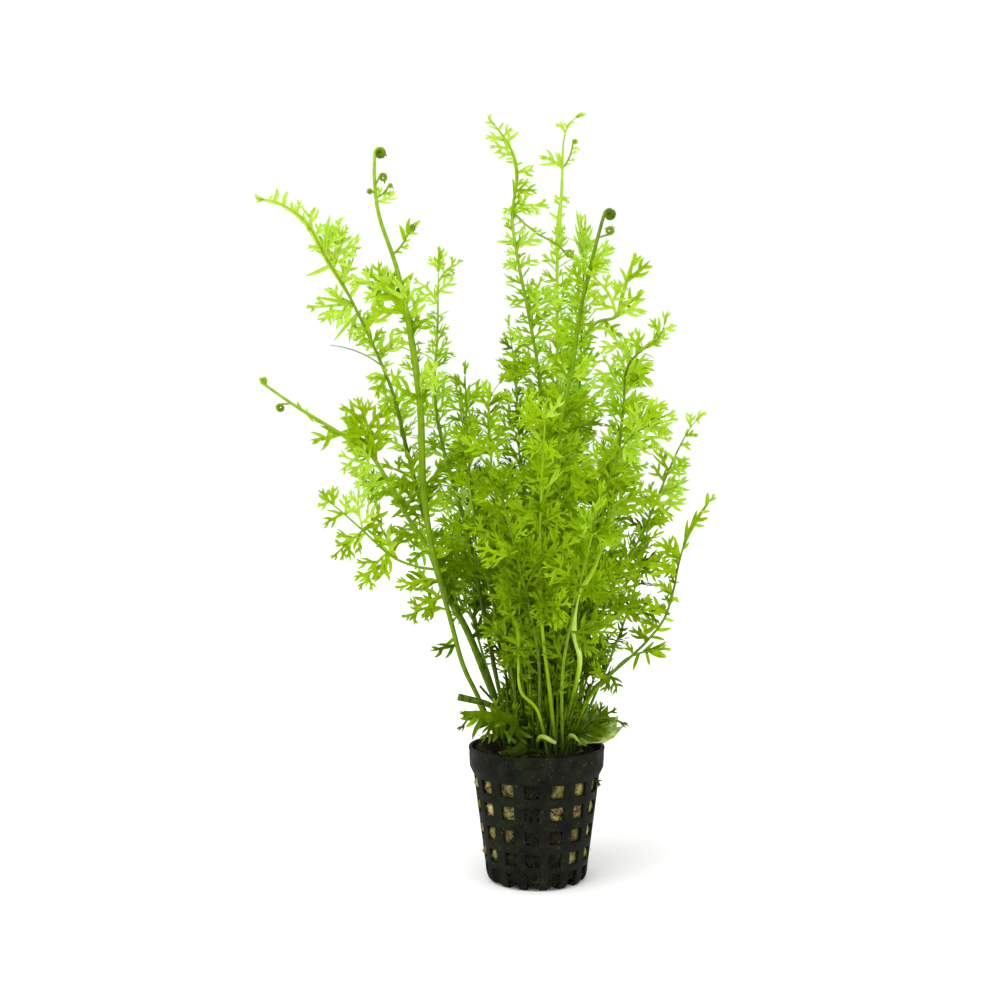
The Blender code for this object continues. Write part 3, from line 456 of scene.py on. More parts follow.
def end_tree(tree, geometry, finish, end, **chosen):
    """End a geometry tree: copies become one mesh with a finish."""
    whole = output_of(tree, "GeometryNodeRealizeInstances", {0: geometry})
    finished = output_of(
        tree, "GeometryNodeSetMaterial", {"Geometry": whole, "Material": finish, **chosen}
    )
    tree.links.new(finished, end)


strewn_places = add_node(strewn, "GeometryNodeDistributePointsOnFaces", {
    "Mesh": strewn_in["Mesh"], "Seed": strewn_in["Seed"],
    "Density": maths(strewn, "MULTIPLY", strewn_in["Density"], stored(strewn, "strewn")),
}).outputs
strewn_lean = output_of(strewn, "ShaderNodeCombineXYZ", {
    "X": strewn_in["Lean"], "Y": strewn_in["Lean"], "Z": math.pi,
})
strewn_turn = output_of(strewn, "FunctionNodeRandomValue", {
    "Min": output_of(
        strewn, "ShaderNodeVectorMath", {0: strewn_lean, "Scale": -1.0}, operation="SCALE"
    ),
    "Max": strewn_lean, "Seed": strewn_in["Seed"],
}, data_type="FLOAT_VECTOR")
strewn_copies = output_of(strewn, "GeometryNodeInstanceOnPoints", {
    "Points": strewn_places["Points"],
    "Instance": output_of(
        strewn, "GeometryNodeObjectInfo", {"Object": strewn_in["Shape"]}, "Geometry"
    ),
    "Rotation": output_of(strewn, "FunctionNodeRotateRotation", {
        "Rotation": strewn_places["Rotation"], "Rotate By": strewn_turn,
    }, rotation_space="LOCAL"),
    "Scale": output_of(strewn, "FunctionNodeRandomValue", {
        2: strewn_in["Least size"], 3: strewn_in["Most size"], "Seed": strewn_in["Seed"],
    }, 1, data_type="FLOAT"),
})
end_tree(strewn, strewn_copies, strewn_in["Finish"], strewn_out[0])


def tube(points, radii, sides):
    """Points and faces of a closed tube along a line of points."""
    corners = []
    for index, (point, radius) in enumerate(zip(points, radii)):
        along = (points[min(index + 1, len(points) - 1)] - points[max(index - 1, 0)]).normalized()
        side = along.orthogonal().normalized()
        front = along.cross(side)
        for corner in range(sides):
            angle = 2 * math.pi * corner / sides
            corners.append(point + radius * (math.cos(angle) * side + math.sin(angle) * front))
    caps = tuple(reversed(range(sides))), tuple(range(len(corners) - sides, len(corners)))
    return corners, [caps[0], *ring_faces(0, len(points), sides), caps[1]]


def strew(name, over, weights, shape, finish, density, seed, sizes, lean):
    """Strew copies of a shape over an object's faces, where its points weigh something."""
    made = put_in_scene(name, over.data.copy())
    add_values(made, "strewn", weights)
    grown_by(strewn, made, **{
        "Density": density, "Seed": seed, "Least size": sizes[0], "Most size": sizes[1],
        "Lean": lean, "Shape": shape, "Finish": finish,
    })
    made.data.shade_smooth()
    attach(made, "root")


fibre_line = [Vector((0.0, 0.0, -0.1)), Vector((0.25, 0.05, 0.22)), Vector((0.9, 0.2, 0.42)),
              Vector((1.7, 0.0, 0.40))]
fibre_shape = add_piece("fibre_shape", *tube(fibre_line, (0.07, 0.06, 0.05, 0.02), 3), wool_finish)
CRUMB_SIZE = 0.32
CRUMB_CORNERS = 5
crumb_rng = random.Random("wool")
crumb_points = [Vector((0.0, 0.0, -1.0)), Vector((0.0, 0.0, 0.8))]
for corner in range(CRUMB_CORNERS):
    angle = 2 * math.pi * corner / CRUMB_CORNERS
    reach = 0.8 + 0.35 * crumb_rng.random()
    crumb_points.append(Vector((reach * math.cos(angle), reach * math.sin(angle), -0.35)))
    crumb_points.append(Vector((0.7 * math.cos(angle + 0.5), 0.7 * math.sin(angle + 0.5), 0.4)))
crumb_faces = []
for corner in range(CRUMB_CORNERS):
    low = 2 + 2 * corner
    next_low = 2 + 2 * ((corner + 1) % CRUMB_CORNERS)
    crumb_faces += [
        (0, next_low, low), (low, next_low, low + 1), (low + 1, next_low, next_low + 1),
        (1, low + 1, next_low + 1),
    ]
dirt_finish, dirt_tree, dirt_shader = new_finish("dirt_dark_crumb", 0.9, 0.12)
dirt_tree.links.new(
    blend_colours(
        dirt_tree, silted(dirt_tree, 0.9, 260.0, 1500.0)["Silt"],
        ramp(dirt_tree, object_noise(dirt_tree, 800.0), (0.40, (0.006, 0.005, 0.004)),
             (0.60, (0.011, 0.011, 0.007)), (0.80, (0.040, 0.028, 0.012))),
        (0.016, 0.017, 0.008),
    ),
    dirt_shader.inputs["Base Color"],
)
roughen(dirt_tree, dirt_shader, object_noise(dirt_tree, 2600.0), 0.8, 0.0003)
crumb_shape = add_piece(
    "crumb_shape", [CRUMB_SIZE * point for point in crumb_points], crumb_faces, dirt_finish
)

in_windows = []
on_dirt = []
for (x, y, height), dirt in zip(wool_points, wool_dirt):
    if height > WOOL_SHOULDER + 0.3:
        in_windows.append(1.0)
        on_dirt.append(0.3 + 0.5 * dirt)
    else:
        inside = window_share(math.atan2(x, -y), height)
        in_windows.append((1.2 - dirt) * (1.0 if inside > 0.12 else 0.0))
        on_dirt.append((0.8 * dirt ** 2 + 0.16 * (1 - inside)) * (1.0 if inside > 0.02 else 0.0))
strew("wool_fibres", wool, in_windows, fibre_shape, wool_finish, 0.8e6, 3, (0.5, 1.1), 0.5)
strew("dirt_crumbs", wool, on_dirt, crumb_shape, dirt_finish, 2.2e6, 8, (0.5, 1.6), 0.6)

# Caked dirt: in the front and at the lower left it has come out through the windows and dried on the
# bars, so that those windows hardly show. It lies on patches of the basket's outer skin.
cake_points = []
cake_weights = []
CAKE_SIDES = 150
CAKE_ANGLES = [math.radians(-75 + 100 * side / (CAKE_SIDES - 1)) for side in range(CAKE_SIDES)]
cake_heights = [1.0 + 0.9 * step for step in range(43)]
for height in cake_heights:
    for angle in CAKE_ANGLES:
        cake_points.append(round_place(pot_radius(height) + POT_WALL - 0.02, angle, height))
        blot = noise.fractal(Vector((9 * angle, height / 5, 11.0)), 0.8, 2.0, 4)
        cake_weights.append(clamped(1.6 * (dirt_share(angle, height) - 0.45) + 0.5 * blot))
cake_faces = ring_faces(0, len(cake_heights), CAKE_SIDES, closed=False)
cake_skin = add_piece("cake_skin", cake_points, cake_faces, dirt_finish)
strew("caked_dirt", cake_skin, cake_weights, crumb_shape, dirt_finish, 3.6e6, 5, (0.4, 1.25), 0.6)
for shape in (fibre_shape, crumb_shape, cake_skin):
    bpy.data.objects.remove(shape)


# Crown: the low dark stock of the fern, from which the fronds and the roots grow. Its top is lumpy
# with old leaf bases, and thin brown roots run from it over the wool and down behind the windows.
CROWN_CENTRE = (2.0, 0.0)
CROWN_RADIUS = 16.5
CROWN_FLOOR = 47.65
CROWN_TOP = 50.2
CROWN_UNDERSIDE = 45.8
CROWN_RINGS = [(1.0, 0.0), (0.95, 0.45), (0.7, 0.85), (0.35, 1.0)]


def crown_height(from_middle):
    """Height of the crown's upper side at a distance from its middle."""
    for (outer, low), (inner, high) in zip(CROWN_RINGS, CROWN_RINGS[1:]):
        if from_middle >= inner * CROWN_RADIUS:
            share = (outer - from_middle / CROWN_RADIUS) / (outer - inner)
            return CROWN_FLOOR + (low + share * (high - low)) * (CROWN_TOP - CROWN_FLOOR)
    return CROWN_TOP


def round_crown(reach, angle):
    """The place across of a point at this distance from the crown's middle."""
    return CROWN_CENTRE[0] + reach * math.cos(angle), CROWN_CENTRE[1] + reach * math.sin(angle)


stock_finish, stock_tree, stock_shader = new_finish("crown_dark_stock", 0.8, 0.10)
stock_tree.links.new(
    blend_colours(
        stock_tree, silted(stock_tree, 0.6, 200.0, 1300.0)["Silt"],
        ramp(stock_tree, object_noise(stock_tree, 260.0, 5.0), (0.35, (0.010, 0.009, 0.006)),
             (0.5, (0.038, 0.034, 0.012)), (0.68, (0.075, 0.095, 0.012))),
        (0.10, 0.085, 0.045),
    ),
    stock_shader.inputs["Base Color"],
)
roughen(stock_tree, stock_shader, object_noise(stock_tree, 900.0, 6.0), 0.9, 0.0006)

CROWN_SIDES = 72
CROWN_STEPS = 14
crown_angles = [2 * math.pi * side / CROWN_SIDES for side in range(CROWN_SIDES)]
crown_points = [(*CROWN_CENTRE, CROWN_TOP)]
for step in range(1, CROWN_STEPS + 1):
    reach = step / CROWN_STEPS * CROWN_RADIUS
    for angle in crown_angles:
        x, y = round_crown(reach, angle)
        lump = noise.fractal(Vector((x / 2.4, y / 2.4, 2.0)), 0.9, 2.0, 4)
        crown_points.append((x, y, crown_height(reach) + 0.7 * lump - 0.15))
crown_points += [(*round_crown(0.97 * CROWN_RADIUS, angle), CROWN_UNDERSIDE) for angle in crown_angles]
crown_faces = [(0, 1 + side, 1 + (side + 1) % CROWN_SIDES) for side in range(CROWN_SIDES)]
crown_faces += [(a, d, c, b) for a, b, c, d in ring_faces(1, CROWN_STEPS + 1, CROWN_SIDES)]
crown_faces.append(tuple(reversed(range(len(crown_points) - CROWN_SIDES, len(crown_points)))))
crown = add_piece("crown_stock", crown_points, crown_faces, stock_finish)
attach(crown, "root")
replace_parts(crown, "crown")

# Roots are tubes along lines of points, each with its own thickness. The first ones hang out in front
# of the bars, the next ones fill the windows, most of them in front, and the last ones lie on the wool.
ROOTS = 150
OUTER_ROOTS = 34
FRONT_ROOTS = 60
WINDOW_ROOTS = 95
WINDOW_ROOT_HEIGHTS = (3.6, 42.0)
root_lines = []
root_rng = random.Random("roots")
for number in range(ROOTS):
    behind_windows = number < WINDOW_ROOTS
    if behind_windows:
        spread = 9 if number < OUTER_ROOTS else 24
        in_front = number < FRONT_ROOTS
        angle = math.radians(root_rng.gauss(-6, spread) if in_front else root_rng.uniform(-180, 180))
        height = root_rng.uniform(6, 42)
    else:
        angle = root_rng.uniform(-math.pi, math.pi)
        height = 0.0
    line = []
    run = root_rng.uniform(-0.9, 0.9)
    turn = root_rng.uniform(-0.5, 0.5)
    for step in range(root_rng.randint(9, 18)):
        run += root_rng.uniform(-0.5, 0.5) + 0.2 * turn
        if behind_windows:
            angle += 0.055 * math.sin(run)
            height -= 1.15 * math.cos(run) * 0.8
            height = min(WINDOW_ROOT_HEIGHTS[1], max(WINDOW_ROOT_HEIGHTS[0], height))
            bulge = window_share(angle, height) * 0.95
            radius = pot_radius(height) - 0.25 + bulge + root_rng.uniform(-0.1, 0.25) * (bulge > 0.3)
            if number < OUTER_ROOTS:
                radius = pot_radius(height) + POT_WALL + root_rng.uniform(0.0, 0.15)
            line.append(Vector(round_place(radius, angle, height)))
        else:
            angle += 0.03 * run
            radius = 13.5 + 0.75 * step
            if radius > 23.6:
                break
            x = CROWN_CENTRE[0] * (1 - step / 14) + radius * math.sin(angle)
            y = -radius * math.cos(angle)
            height = 48.7 + heap_height(x) + root_rng.uniform(-0.2, 0.5) - 0.02 * step
            line.append(Vector((x, y, height)))
    root_lines.append((line, root_rng.uniform(0.11, 0.26)))


def circle_of(tree, sides):
    """A circle of radius 1 with this many corners."""
    return output_of(tree, "GeometryNodeCurvePrimitiveCircle", {"Resolution": sides, "Radius": 1.0})


def curve_of(tree, mesh):
    """The bare edges of a mesh as a curve."""
    return output_of(tree, "GeometryNodeMeshToCurve", {"Mesh": mesh})


def swept(tree, curve, profile):
    """A profile that runs along a curve, as large at each point as the thickness there."""
    return output_of(tree, "GeometryNodeCurveToMesh", {
        "Curve": curve, "Profile Curve": profile, "Scale": stored(tree, "thickness"), "Fill Caps": True,
    })


strands, strands_in, strands_out = new_tree("strands", {"Sides": "Int", "Finish": "Material"})
strand_tubes = swept(
    strands, curve_of(strands, strands_in["Mesh"]), circle_of(strands, strands_in["Sides"])
)
end_tree(strands, strand_tubes, strands_in["Finish"], strands_out[0])


def lines_mesh(name, lines):
    """An object of bare lines in millimetres, thinner towards their ends."""
    mesh = bpy.data.meshes.new(name)
    points = []
    edges = []
    thickness = []
    for line, width in lines:
        edges += [(len(points) + step, len(points) + step + 1) for step in range(len(line) - 1)]
        points += [tuple(point * MM) for point in line]
        thickness += [width * MM * (1 - 0.7 * step / len(line)) for step in range(len(line))]
    mesh.from_pydata(points, edges, [])
    made = put_in_scene(name, mesh)
    add_values(made, "thickness", thickness)
    return made


root_finish, root_tree, root_shader = new_finish("roots_brown", 0.7, 0.12)
root_tree.links.new(
    ramp(root_tree, object_noise(root_tree, 170.0, 4.0), (0.36, (0.004, 0.004, 0.003)),
         (0.58, (0.014, 0.011, 0.006)), (0.74, (0.07, 0.05, 0.022))),
    root_shader.inputs["Base Color"],
)
roughen(root_tree, root_shader, object_noise(root_tree, 2400.0), 0.6, 0.0002)
roots = grown_by(strands, lines_mesh("roots", root_lines), Sides=6, Finish=root_finish)
roots.data.shade_smooth()
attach(roots, "root")


# Fronds: each is one grown piece, a juicy ridged stalk with thin, deeply cut leaves. Small leaves sit
# on ribs that branch from the stalk, each forked into narrow pointed blades. Young fronds still end in
# a coil. The stalks stand in the crown and bend outwards as they rise.
EYE = Vector((-14.0, -480.0, 144.2))
FRONT = Vector((0.0, -1.0, 0.0))
UP = Vector((0.0, 0.0, 1.0))
COIL = -1
TWIG = -2
TENDRIL = -3

# A route runs from foot to tip. Each point is its place in the front view, across and up at the pot's
# distance, and how far behind the pot's middle it lies. Widths are the solid stalk's at foot and tip.
# A pinna runs from its foot to its tip in the same view; then come how far back its tip leans, and 0
# for a single blade, the solid's pairs of lobes for a side branch of forked leaflets, COIL for a
# rolled bud, TWIG for a thin twig with a bud, or TENDRIL for a bare thread.
# Fill is the shares of the route where more pinnae grow, and their number of pairs and reach. Coil is
# the radius of the coil that ends a frond; a cut one ends flat. Crowd is where leaves grow all round
# the stalk, and their reach. Wings are the shares of the route where the stalk's edges are leafy, and
# half their width. Clear is the heights between which no leaf hangs in front of the stalk.
# The rest is how much paler than its neighbours' a frond's leaves are, how many times broader, how
# pale its coil is, and the stalk's tones and its slimness beside the solid's, which is stout enough to
# be cut. Both of these stand at even spaces from foot to tip.
Frond = namedtuple(
    "Frond",
    "route widths pinnae fill coil cut crowd wings clear paleness breadth coil_tone tones slimness",
    defaults=((), None, None, False, None, None, None, 0.0, 1.0, None, None, (0.66, 0.76)),
)
FRONDS = {
    "fiddlehead_left": Frond(
        [(-8, 52, -4), (-19, 74, -8), (-27, 94, -12), (-37, 114, -17), (-43, 145, -20),
         (-45, 185, -21), (-52, 227, -19), (-60, 252, -17), (-62, 266, -16.3), (-62, 277, -16)],
        (3.2, 1.5),
        [(-61.5, 264.5, -58.8, 267.7, 0, COIL), (-60.8, 260.8, -63.8, 262.3, -1, COIL),
         (-60.5, 258, -53.5, 262, 3, 1), (-60.8, 260, -56, 264.5, 2, TWIG),
         (-55.6, 239, -47.5, 248.5, -3, TWIG), (-50.5, 243.6, -52.8, 249.6, -3, 0),
         (-49.2, 246, -48.8, 252.8, -3, 0), (-48.8, 246.6, -43.8, 251.6, -3, 0),
         (-53, 227, -47, 232, 2, 0),
         (-50, 212, -64, 233, 5, 3), (-48, 206, -39, 215, 4, 2), (-51, 218, -60, 229, 2, 2),
         (-51, 218, -55, 230, -2, 2), (-52, 222, -71, 229.5, 4, 2), (-50, 213, -44, 224, 3, 2)],
        (0.40, 0.66, 2, 17), 1.95, crowd=(0.24, 0.78, 14),
        clear=(98, 236), breadth=1.25, tones=(0.10, 0.20, 0.35, 0.40, 0.56),
        slimness=(0.42, 0.54, 0.76, 1.10, 1.25, 0.85, 0.80)),
    "frond_left_arching": Frond(
        [(-9, 52, 2), (-17, 72, 4), (-25, 92, 6), (-35, 112, 8), (-43, 138, 9), (-50, 165, 9),
         (-56, 188, 8), (-70, 219, 6), (-80, 236, 4), (-88, 250, 3), (-98, 257.5, 2), (-109, 260, 0)],
        (2.4, 0.9),
        [(-101, 258, -99, 264, -2, 0), (-96, 257, -95, 263, 2, 0), (-91, 253, -90.6, 259.5, -2, 1),
         (-86, 247, -85, 256, 2, 1), (-81, 238, -79, 254, -3, 0), (-78, 232, -75, 252, 3, 2),
         (-74, 226, -74, 237, -3, 1), (-83, 241, -88, 241, -2, 1), (-79, 234, -89, 230, 3, 0),
         (-70, 219, -87, 218, -3, 3), (-64, 206, -73, 208, -4, 1),
         (-58, 195, -79, 203.5, 4, TENDRIL), (-73.5, 226.5, -69, 240, 2, TENDRIL),
         (-57, 191, -64, 189, -3, 2), (-54, 180, -60, 178, 3, 1), (-60, 198, -51, 208, 4, 2),
         (-101.5, 258.5, -101, 261, 1, 0), (-105, 258.5, -108, 261.5, 0, 0), (-93, 254.5, -94, 259, 2, 0),
         (-84.5, 245, -83, 252, 2, 1), (-79.5, 240, -76.5, 250, -1, 1),
         (-77, 236, -73, 247.5, 2, 1), (-76, 229, -70.5, 236, 2, 1), (-71, 219, -84.5, 221.5, -2, 0),
         (-71, 219.5, -80.5, 225, -1, 0), (-70, 218, -81.5, 212.5, -3, 1), (-69, 217, -78, 205.5, -4, 0),
         (-68, 216, -72.5, 206.5, -5, 0), (-70, 221, -67.5, 227, 1, 0), (-67, 213, -58, 224, 3, 2),
         (-62, 202, -71, 208, 2, 1), (-57, 192, -63, 183, -3, 1), (-55, 186, -60, 179, 2, 1)],
        (0.28, 0.46, 2, 15), crowd=(0.18, 0.74, 12), wings=(0.78, 0.985, 1.2),
        clear=(128, 190), paleness=0.08, breadth=1.30, tones=(0.12, 0.10, 0.12, 0.40, 0.55),
        slimness=(0.70, 0.90, 0.85)),
    "frond_left_spreading": Frond(
        [(-12.5, 52, -2), (-22.5, 69, -5), (-28.5, 82, -7), (-34, 102, -9), (-41, 124, -11),
         (-51.5, 141, -12), (-63, 161, -12), (-75, 169.5, -11), (-92, 180, -9), (-105, 189, -8)],
        (2.5, 1.1),
        [(-94, 181, -98, 179.5, -2, COIL), (-88, 177, -88, 180, 1, 0), (-81, 173, -85.5, 174.5, -1, 0),
         (-87, 176.5, -85.5, 174, 1, 0), (-79, 172, -81, 164, 2, 0), (-103, 187.5, -106.5, 191.5, 1, 1),
         (-90, 178.5, -91.5, 182, 0, 0),
         (-75, 169, -87, 166, -2, 1), (-66, 164, -74, 173, 3, 2), (-62, 160, -68, 183, 1, 3),
         (-62, 157, -75, 161, -3, 2), (-56, 146, -69, 151, 2, 2), (-50, 139, -42, 151, -5, 2),
         (-38, 114, -53, 111, -4, 3), (-35, 102, -51, 100, 3, 2), (-36, 106, -27, 113, -6, 2),
         (-65, 163, -73, 177.5, 2, 2), (-63, 161, -75, 170, -2, 2), (-60, 158, -68, 176, 1, 2),
         (-59, 154, -73, 155.5, 2, 1), (-58, 151, -70, 152, -2, 1), (-55, 146, -66, 144, 2, 2),
         (-44, 130, -56, 134, -2, 2), (-30, 89, -41, 86, -3, 2), (-31, 90.5, -37, 86, 1, 0),
         (-36, 106, -48, 104, 2, 1), (-38, 112, -50, 115, 3, 1)],
        coil=1.0, crowd=(0.36, 0.66, 9), clear=(100, 190), paleness=-0.02, breadth=1.15, coil_tone=0.5,
        tones=(0.20, 0.35, 0.55), slimness=(0.70, 0.95, 1.05, 0.95)),
    "frond_left_low_branch": Frond(
        [(-39.2, 117.6, -10.6), (-47, 119, -12), (-56, 123, -13.5), (-66.5, 132.5, -15), (-75, 140, -16),
         (-82, 145.5, -16)],
        (1.8, 0.9),
        [(-53, 122, -61, 136.5, 3, 1), (-53.5, 122, -56, 135, -2, 1), (-57, 123.5, -67.3, 110.5, -3, 1),
         (-57, 123.5, -62.3, 112, -2, 1), (-67, 133, -68.5, 151, -3, 2), (-67, 133, -59.5, 144.5, 2, 2),
         (-66.5, 132, -78.2, 122.3, 3, 1), (-65.5, 131, -74, 128, 1, 1), (-73, 138, -72.5, 147.4, 2, 1),
         (-74, 139, -82.5, 134.8, -2, 1), (-78, 142.5, -78, 150.5, 2, 1),
         (-79.5, 143.5, -84.5, 141.5, -1, 1), (-78.5, 143, -82, 149, 1, 1), (-61, 127.5, -63, 137, 1, 1)],
        paleness=0.08, breadth=1.1, tones=(0.35, 0.5)),
    "frond_left_pale": Frond(
        [(-7, 52, 7), (-14, 70, 10), (-21, 106, 14), (-27.5, 136, 18), (-35, 161, 20),
         (-39, 185, 20), (-38, 208, 19), (-37.5, 240, 17)],
        (2.2, 0.8),
        [(-37.4, 234, -34, 240, 2, 0), (-37.4, 231, -42, 237, -2, 1), (-37.3, 228, -29, 236, 3, 1),
         (-37.3, 221, -46, 229, 2, 2), (-38, 207, -33, 211, -3, 1), (-39, 200, -30, 201, 2, 2),
         (-37.4, 230, -37.5, 239.5, 1, 1), (-37.3, 224, -31, 229, 2, 1), (-37.4, 219, -43, 222, -2, 1)],
        (0.42, 0.74, 3, 16), crowd=(0.30, 0.88, 13),
        clear=(104, 172), paleness=0.22, tones=(0.08, 0.12, 0.35, 0.62), slimness=(0.66, 1.15, 1.0, 0.8)),
    "frond_short_left": Frond(
        [(-4, 52, 0), (-10, 76, -3), (-17, 106, -6), (-23, 135, -8), (-26, 160, -9), (-27.5, 196, -9)],
        (2.0, 0.8),
        [(-27, 183, -19, 190, -3, 2), (-27, 186, -33, 192, 3, 1)],
        (0.42, 0.84, 4, 16)),
    "frond_inner_left": Frond(
        [(-2, 52, -8), (-6, 80, -13), (-11, 110, -18), (-15, 140, -22), (-18, 165, -24),
         (-18, 182, -25), (-12, 192, -25)],
        (1.9, 0.8),
        [(-17.5, 184, -21, 191, 2, 1), (-17.5, 180, -8, 184, -3, 2)],
        (0.40, 0.86, 4, 17)),
    "frond_tall_left": Frond(
        [(1, 52, 4), (2, 90, 7), (1.5, 155, 11), (1, 190, 12), (-3, 215, 12), (-7.5, 238, 12),
         (-9.3, 253, 12), (-7.5, 268, 11), (-10, 279, 10), (-18, 290.5, 9)],
        (2.3, 0.9),
        [(-13, 284, -20, 284, -1, 1), (-10, 279, -18, 280, 2, 1), (-12, 283, -9, 287, 1, 1),
         (-8.3, 274, -12, 274, -2, 0), (-7.5, 269, 0, 270, -3, 1), (-8, 262, 1, 263, 3, 2),
         (-8.8, 256, -14, 254, -2, 1), (-8.8, 255, 4, 257, -3, 2), (-9, 254.5, 12.6, 238.8, 2, TWIG),
         (-8.4, 243, -16, 243, 2, 0), (-8, 240, 3, 244, -3, 2), (-7.6, 235, -14, 235, -3, 1),
         (-6, 227, -12, 230, 3, 1), (-5, 222, -12, 222, -3, 1), (-3.5, 216, 11, 225, -4, 3),
         (-1.5, 206, -12, 209, -4, 2), (0.8, 190, -13, 198, 3, 2), (-15, 287, -18.5, 287, 1, 0),
         (-14.5, 286, -12.5, 289, -1, 0), (-11.5, 281, -7, 285, 1, 0), (-11, 281, -11, 286.5, -1, 0),
         (-11.5, 281.5, -19.5, 282.5, 1, 0), (-9, 276, -16, 277.5, 1, 1), (-8.5, 275, -12, 274.5, 0, 0),
         (-7.6, 272, -5, 273.5, 0, 0), (-8.4, 261, -9, 268, 1, 0), (-8, 264, -1, 267, 2, 1),
         (-9, 251, -4, 260, 1, 1), (-8.6, 246, -4, 249, -1, 1), (-9, 250, -11.5, 249.5, 1, 0),
         (-4, 218, 2, 229, 2, 2), (-7, 232, 2, 237, 3, 2), (-2.5, 212, 6, 219, 4, 2)],
        (0.30, 0.50, 3, 17), crowd=(0.18, 0.88, 13), wings=(0.86, 0.98, 0.75),
        clear=(196, 254), paleness=0.08, tones=(0.08, 0.18, 0.22, 0.50, 0.55),
        slimness=(0.60, 0.80, 1.30)),
    "frond_tallest": Frond(
        [(4, 52, 9), (6, 100, 16), (8, 150, 21), (8, 200, 23), (8, 240, 23), (9.6, 262, 22),
         (11, 285, 21), (18.5, 293.5, 20)],
        (2.2, 0.8),
        [(11, 285, 7.2, 288.8, -2, 1), (10.2, 270.5, 0, 276, -2, 2), (10.2, 270, 14.7, 281.3, 2, TWIG),
         (8, 272.5, 8, 277.5, -1, 0), (6.5, 273.5, 4.5, 278, -1, 0),
         (9.6, 260, 6, 261, 2, 1), (9.7, 259, 13, 258, -2, 1), (8.6, 252, 5, 254, 3, 0),
         (8.2, 246, 11.5, 244, -2, 0), (15.6, 290.2, 18.9, 292.8, 0, 0), (16, 290.2, 19.2, 291.8, 1, 0),
         (15.6, 290.6, 14.6, 291.4, 0, 0), (14, 288.8, 15.2, 289, 0, 0),
         (15.8, 290.6, 17.7, 293, -1, 0), (12, 287, 14, 289.5, 1, 0), (11.5, 286, 10, 289.5, 1, 0),
         (9.7, 257, 6.5, 260.5, 2, 1), (9.6, 258, 12.5, 260.5, 1, 1), (9.4, 256, 12, 256.5, -1, 0),
         (9, 253, 10.8, 254.5, 1, 0), (8.2, 248, 10.3, 249, 1, 0), (8.5, 251, 6.3, 251.5, -1, 0)],
        (0.36, 0.76, 4, 17), crowd=(0.20, 0.80, 13), wings=(0.77, 0.86, 1.1),
        paleness=0.14, tones=(0.06, 0.35, 0.72, 0.64), slimness=(0.60, 0.80, 1.50)),
    "fiddlehead_right": Frond(
        [(3.5, 52, -3), (5, 95, -6), (6.5, 140, -9), (9, 172, -11), (13.5, 194, -12),
         (16.5, 215, -12), (21, 235, -12), (24.6, 249, -12), (26.1, 254, -12)],
        (3.0, 1.7),
        [(24, 244.6, 27.9, 247.4, -1, COIL), (13.5, 193, 24, 198, -3, 1), (15, 205, 4, 212, -3, 3),
         (21, 234, 29.5, 241, 2, 2), (20, 230, 27, 236, -2, 2), (19, 226, 14, 237, 2, 2)],
        (0.42, 0.74, 3, 18), 1.95, crowd=(0.22, 0.90, 15),
        clear=(170, 250), paleness=0.08, tones=(0.06, 0.22, 0.44, 0.24), slimness=(0.60, 0.95, 0.80)),
    "frond_right_forked_branch": Frond(
        [(18.4, 207.6, -13), (23.5, 212.4, -14), (30.5, 214.6, -15), (33, 223, -16), (37.3, 237.6, -16)],
        (2.0, 0.9),
        [(30, 214, 43, 217, -3, 2), (32, 219, 42, 225, 2, 2), (34, 228, 44, 236, -2, 2),
         (34, 229, 32, 234, 2, 0), (30, 214.6, 21, 232, -3, 2), (33, 223, 29.5, 229, 2, 1),
         (36, 233, 40.5, 238, 1, 0), (26, 213, 34, 206, 3, 2)], wings=(0.25, 1.0, 0.8),
        clear=(205, 238), breadth=1.15, tones=(0.42, 0.60)),
    "frond_right_inner": Frond(
        [(8.5, 52, -7), (13, 66, -15), (16.6, 82, -21), (14.3, 94, -24), (15.5, 107, -24),
         (21, 116, -22), (26, 130, -20), (29, 150, -19), (33, 177, -18), (35.2, 196, -17),
         (46.5, 206, -16), (50, 215, -16)],
        (2.8, 1.0),
        [(47, 207, 43, 214, -2, 1), (48, 209, 53.5, 211, 2, 1), (35, 189, 46, 197, -2, 2),
         (34, 188, 19, 187, -4, 3), (34, 180, 37, 186, 2, 0), (33.4, 177, 44, 184, -3, 2),
         (41, 201, 36, 211, 3, 2), (38, 199, 45, 187, -1, 2), (36, 198, 41, 186, 2, 2),
         (35.4, 197, 30, 206, -2, 2), (45, 205, 51, 208, 1, 1), (34.5, 186, 26, 199, 3, 3),
         (35, 195, 27, 210, -3, 3)],
        (0.52, 0.66, 2, 16), crowd=(0.40, 0.97, 15),
        clear=(62, 150), paleness=0.16, breadth=1.10,
        tones=(0.06, 0.16, 1.00, 0.72, 0.42, 0.35, 0.30, 0.25, 0.25),
        slimness=(0.42, 0.75, 1.05, 0.8, 0.7, 0.65, 0.6)),
    "frond_right_front": Frond(
        [(10, 52, -2), (14, 90, -9), (20, 125, -17), (27, 150, -24), (34, 166, -28),
         (43, 173, -30), (52, 178, -30)],
        (2.0, 0.8),
        [(42, 172.5, 50, 183, -2, 1), (42, 172.5, 52, 169, 2, 1), (36, 169, 42, 181, 3, 2),
         (36, 169, 49, 180, 1, 2), (38, 170, 53, 175.5, -2, 3), (36, 168, 51, 168, -1, 2),
         (34, 166, 47, 164, 2, 2), (33, 165, 41, 158, -2, 2)],
        (0.34, 0.84, 3, 18), crowd=(0.20, 0.90, 16),
        paleness=0.10),
    "frond_right_outer": Frond(
        [(14, 52, 3), (18, 76, 7), (26, 103, 11), (36, 123, 13), (41.5, 133, 13), (45.5, 143, 13),
         (50, 154, 12), (54, 163, 11), (59, 172, 10), (63.5, 177, 9)],
        (2.1, 0.8),
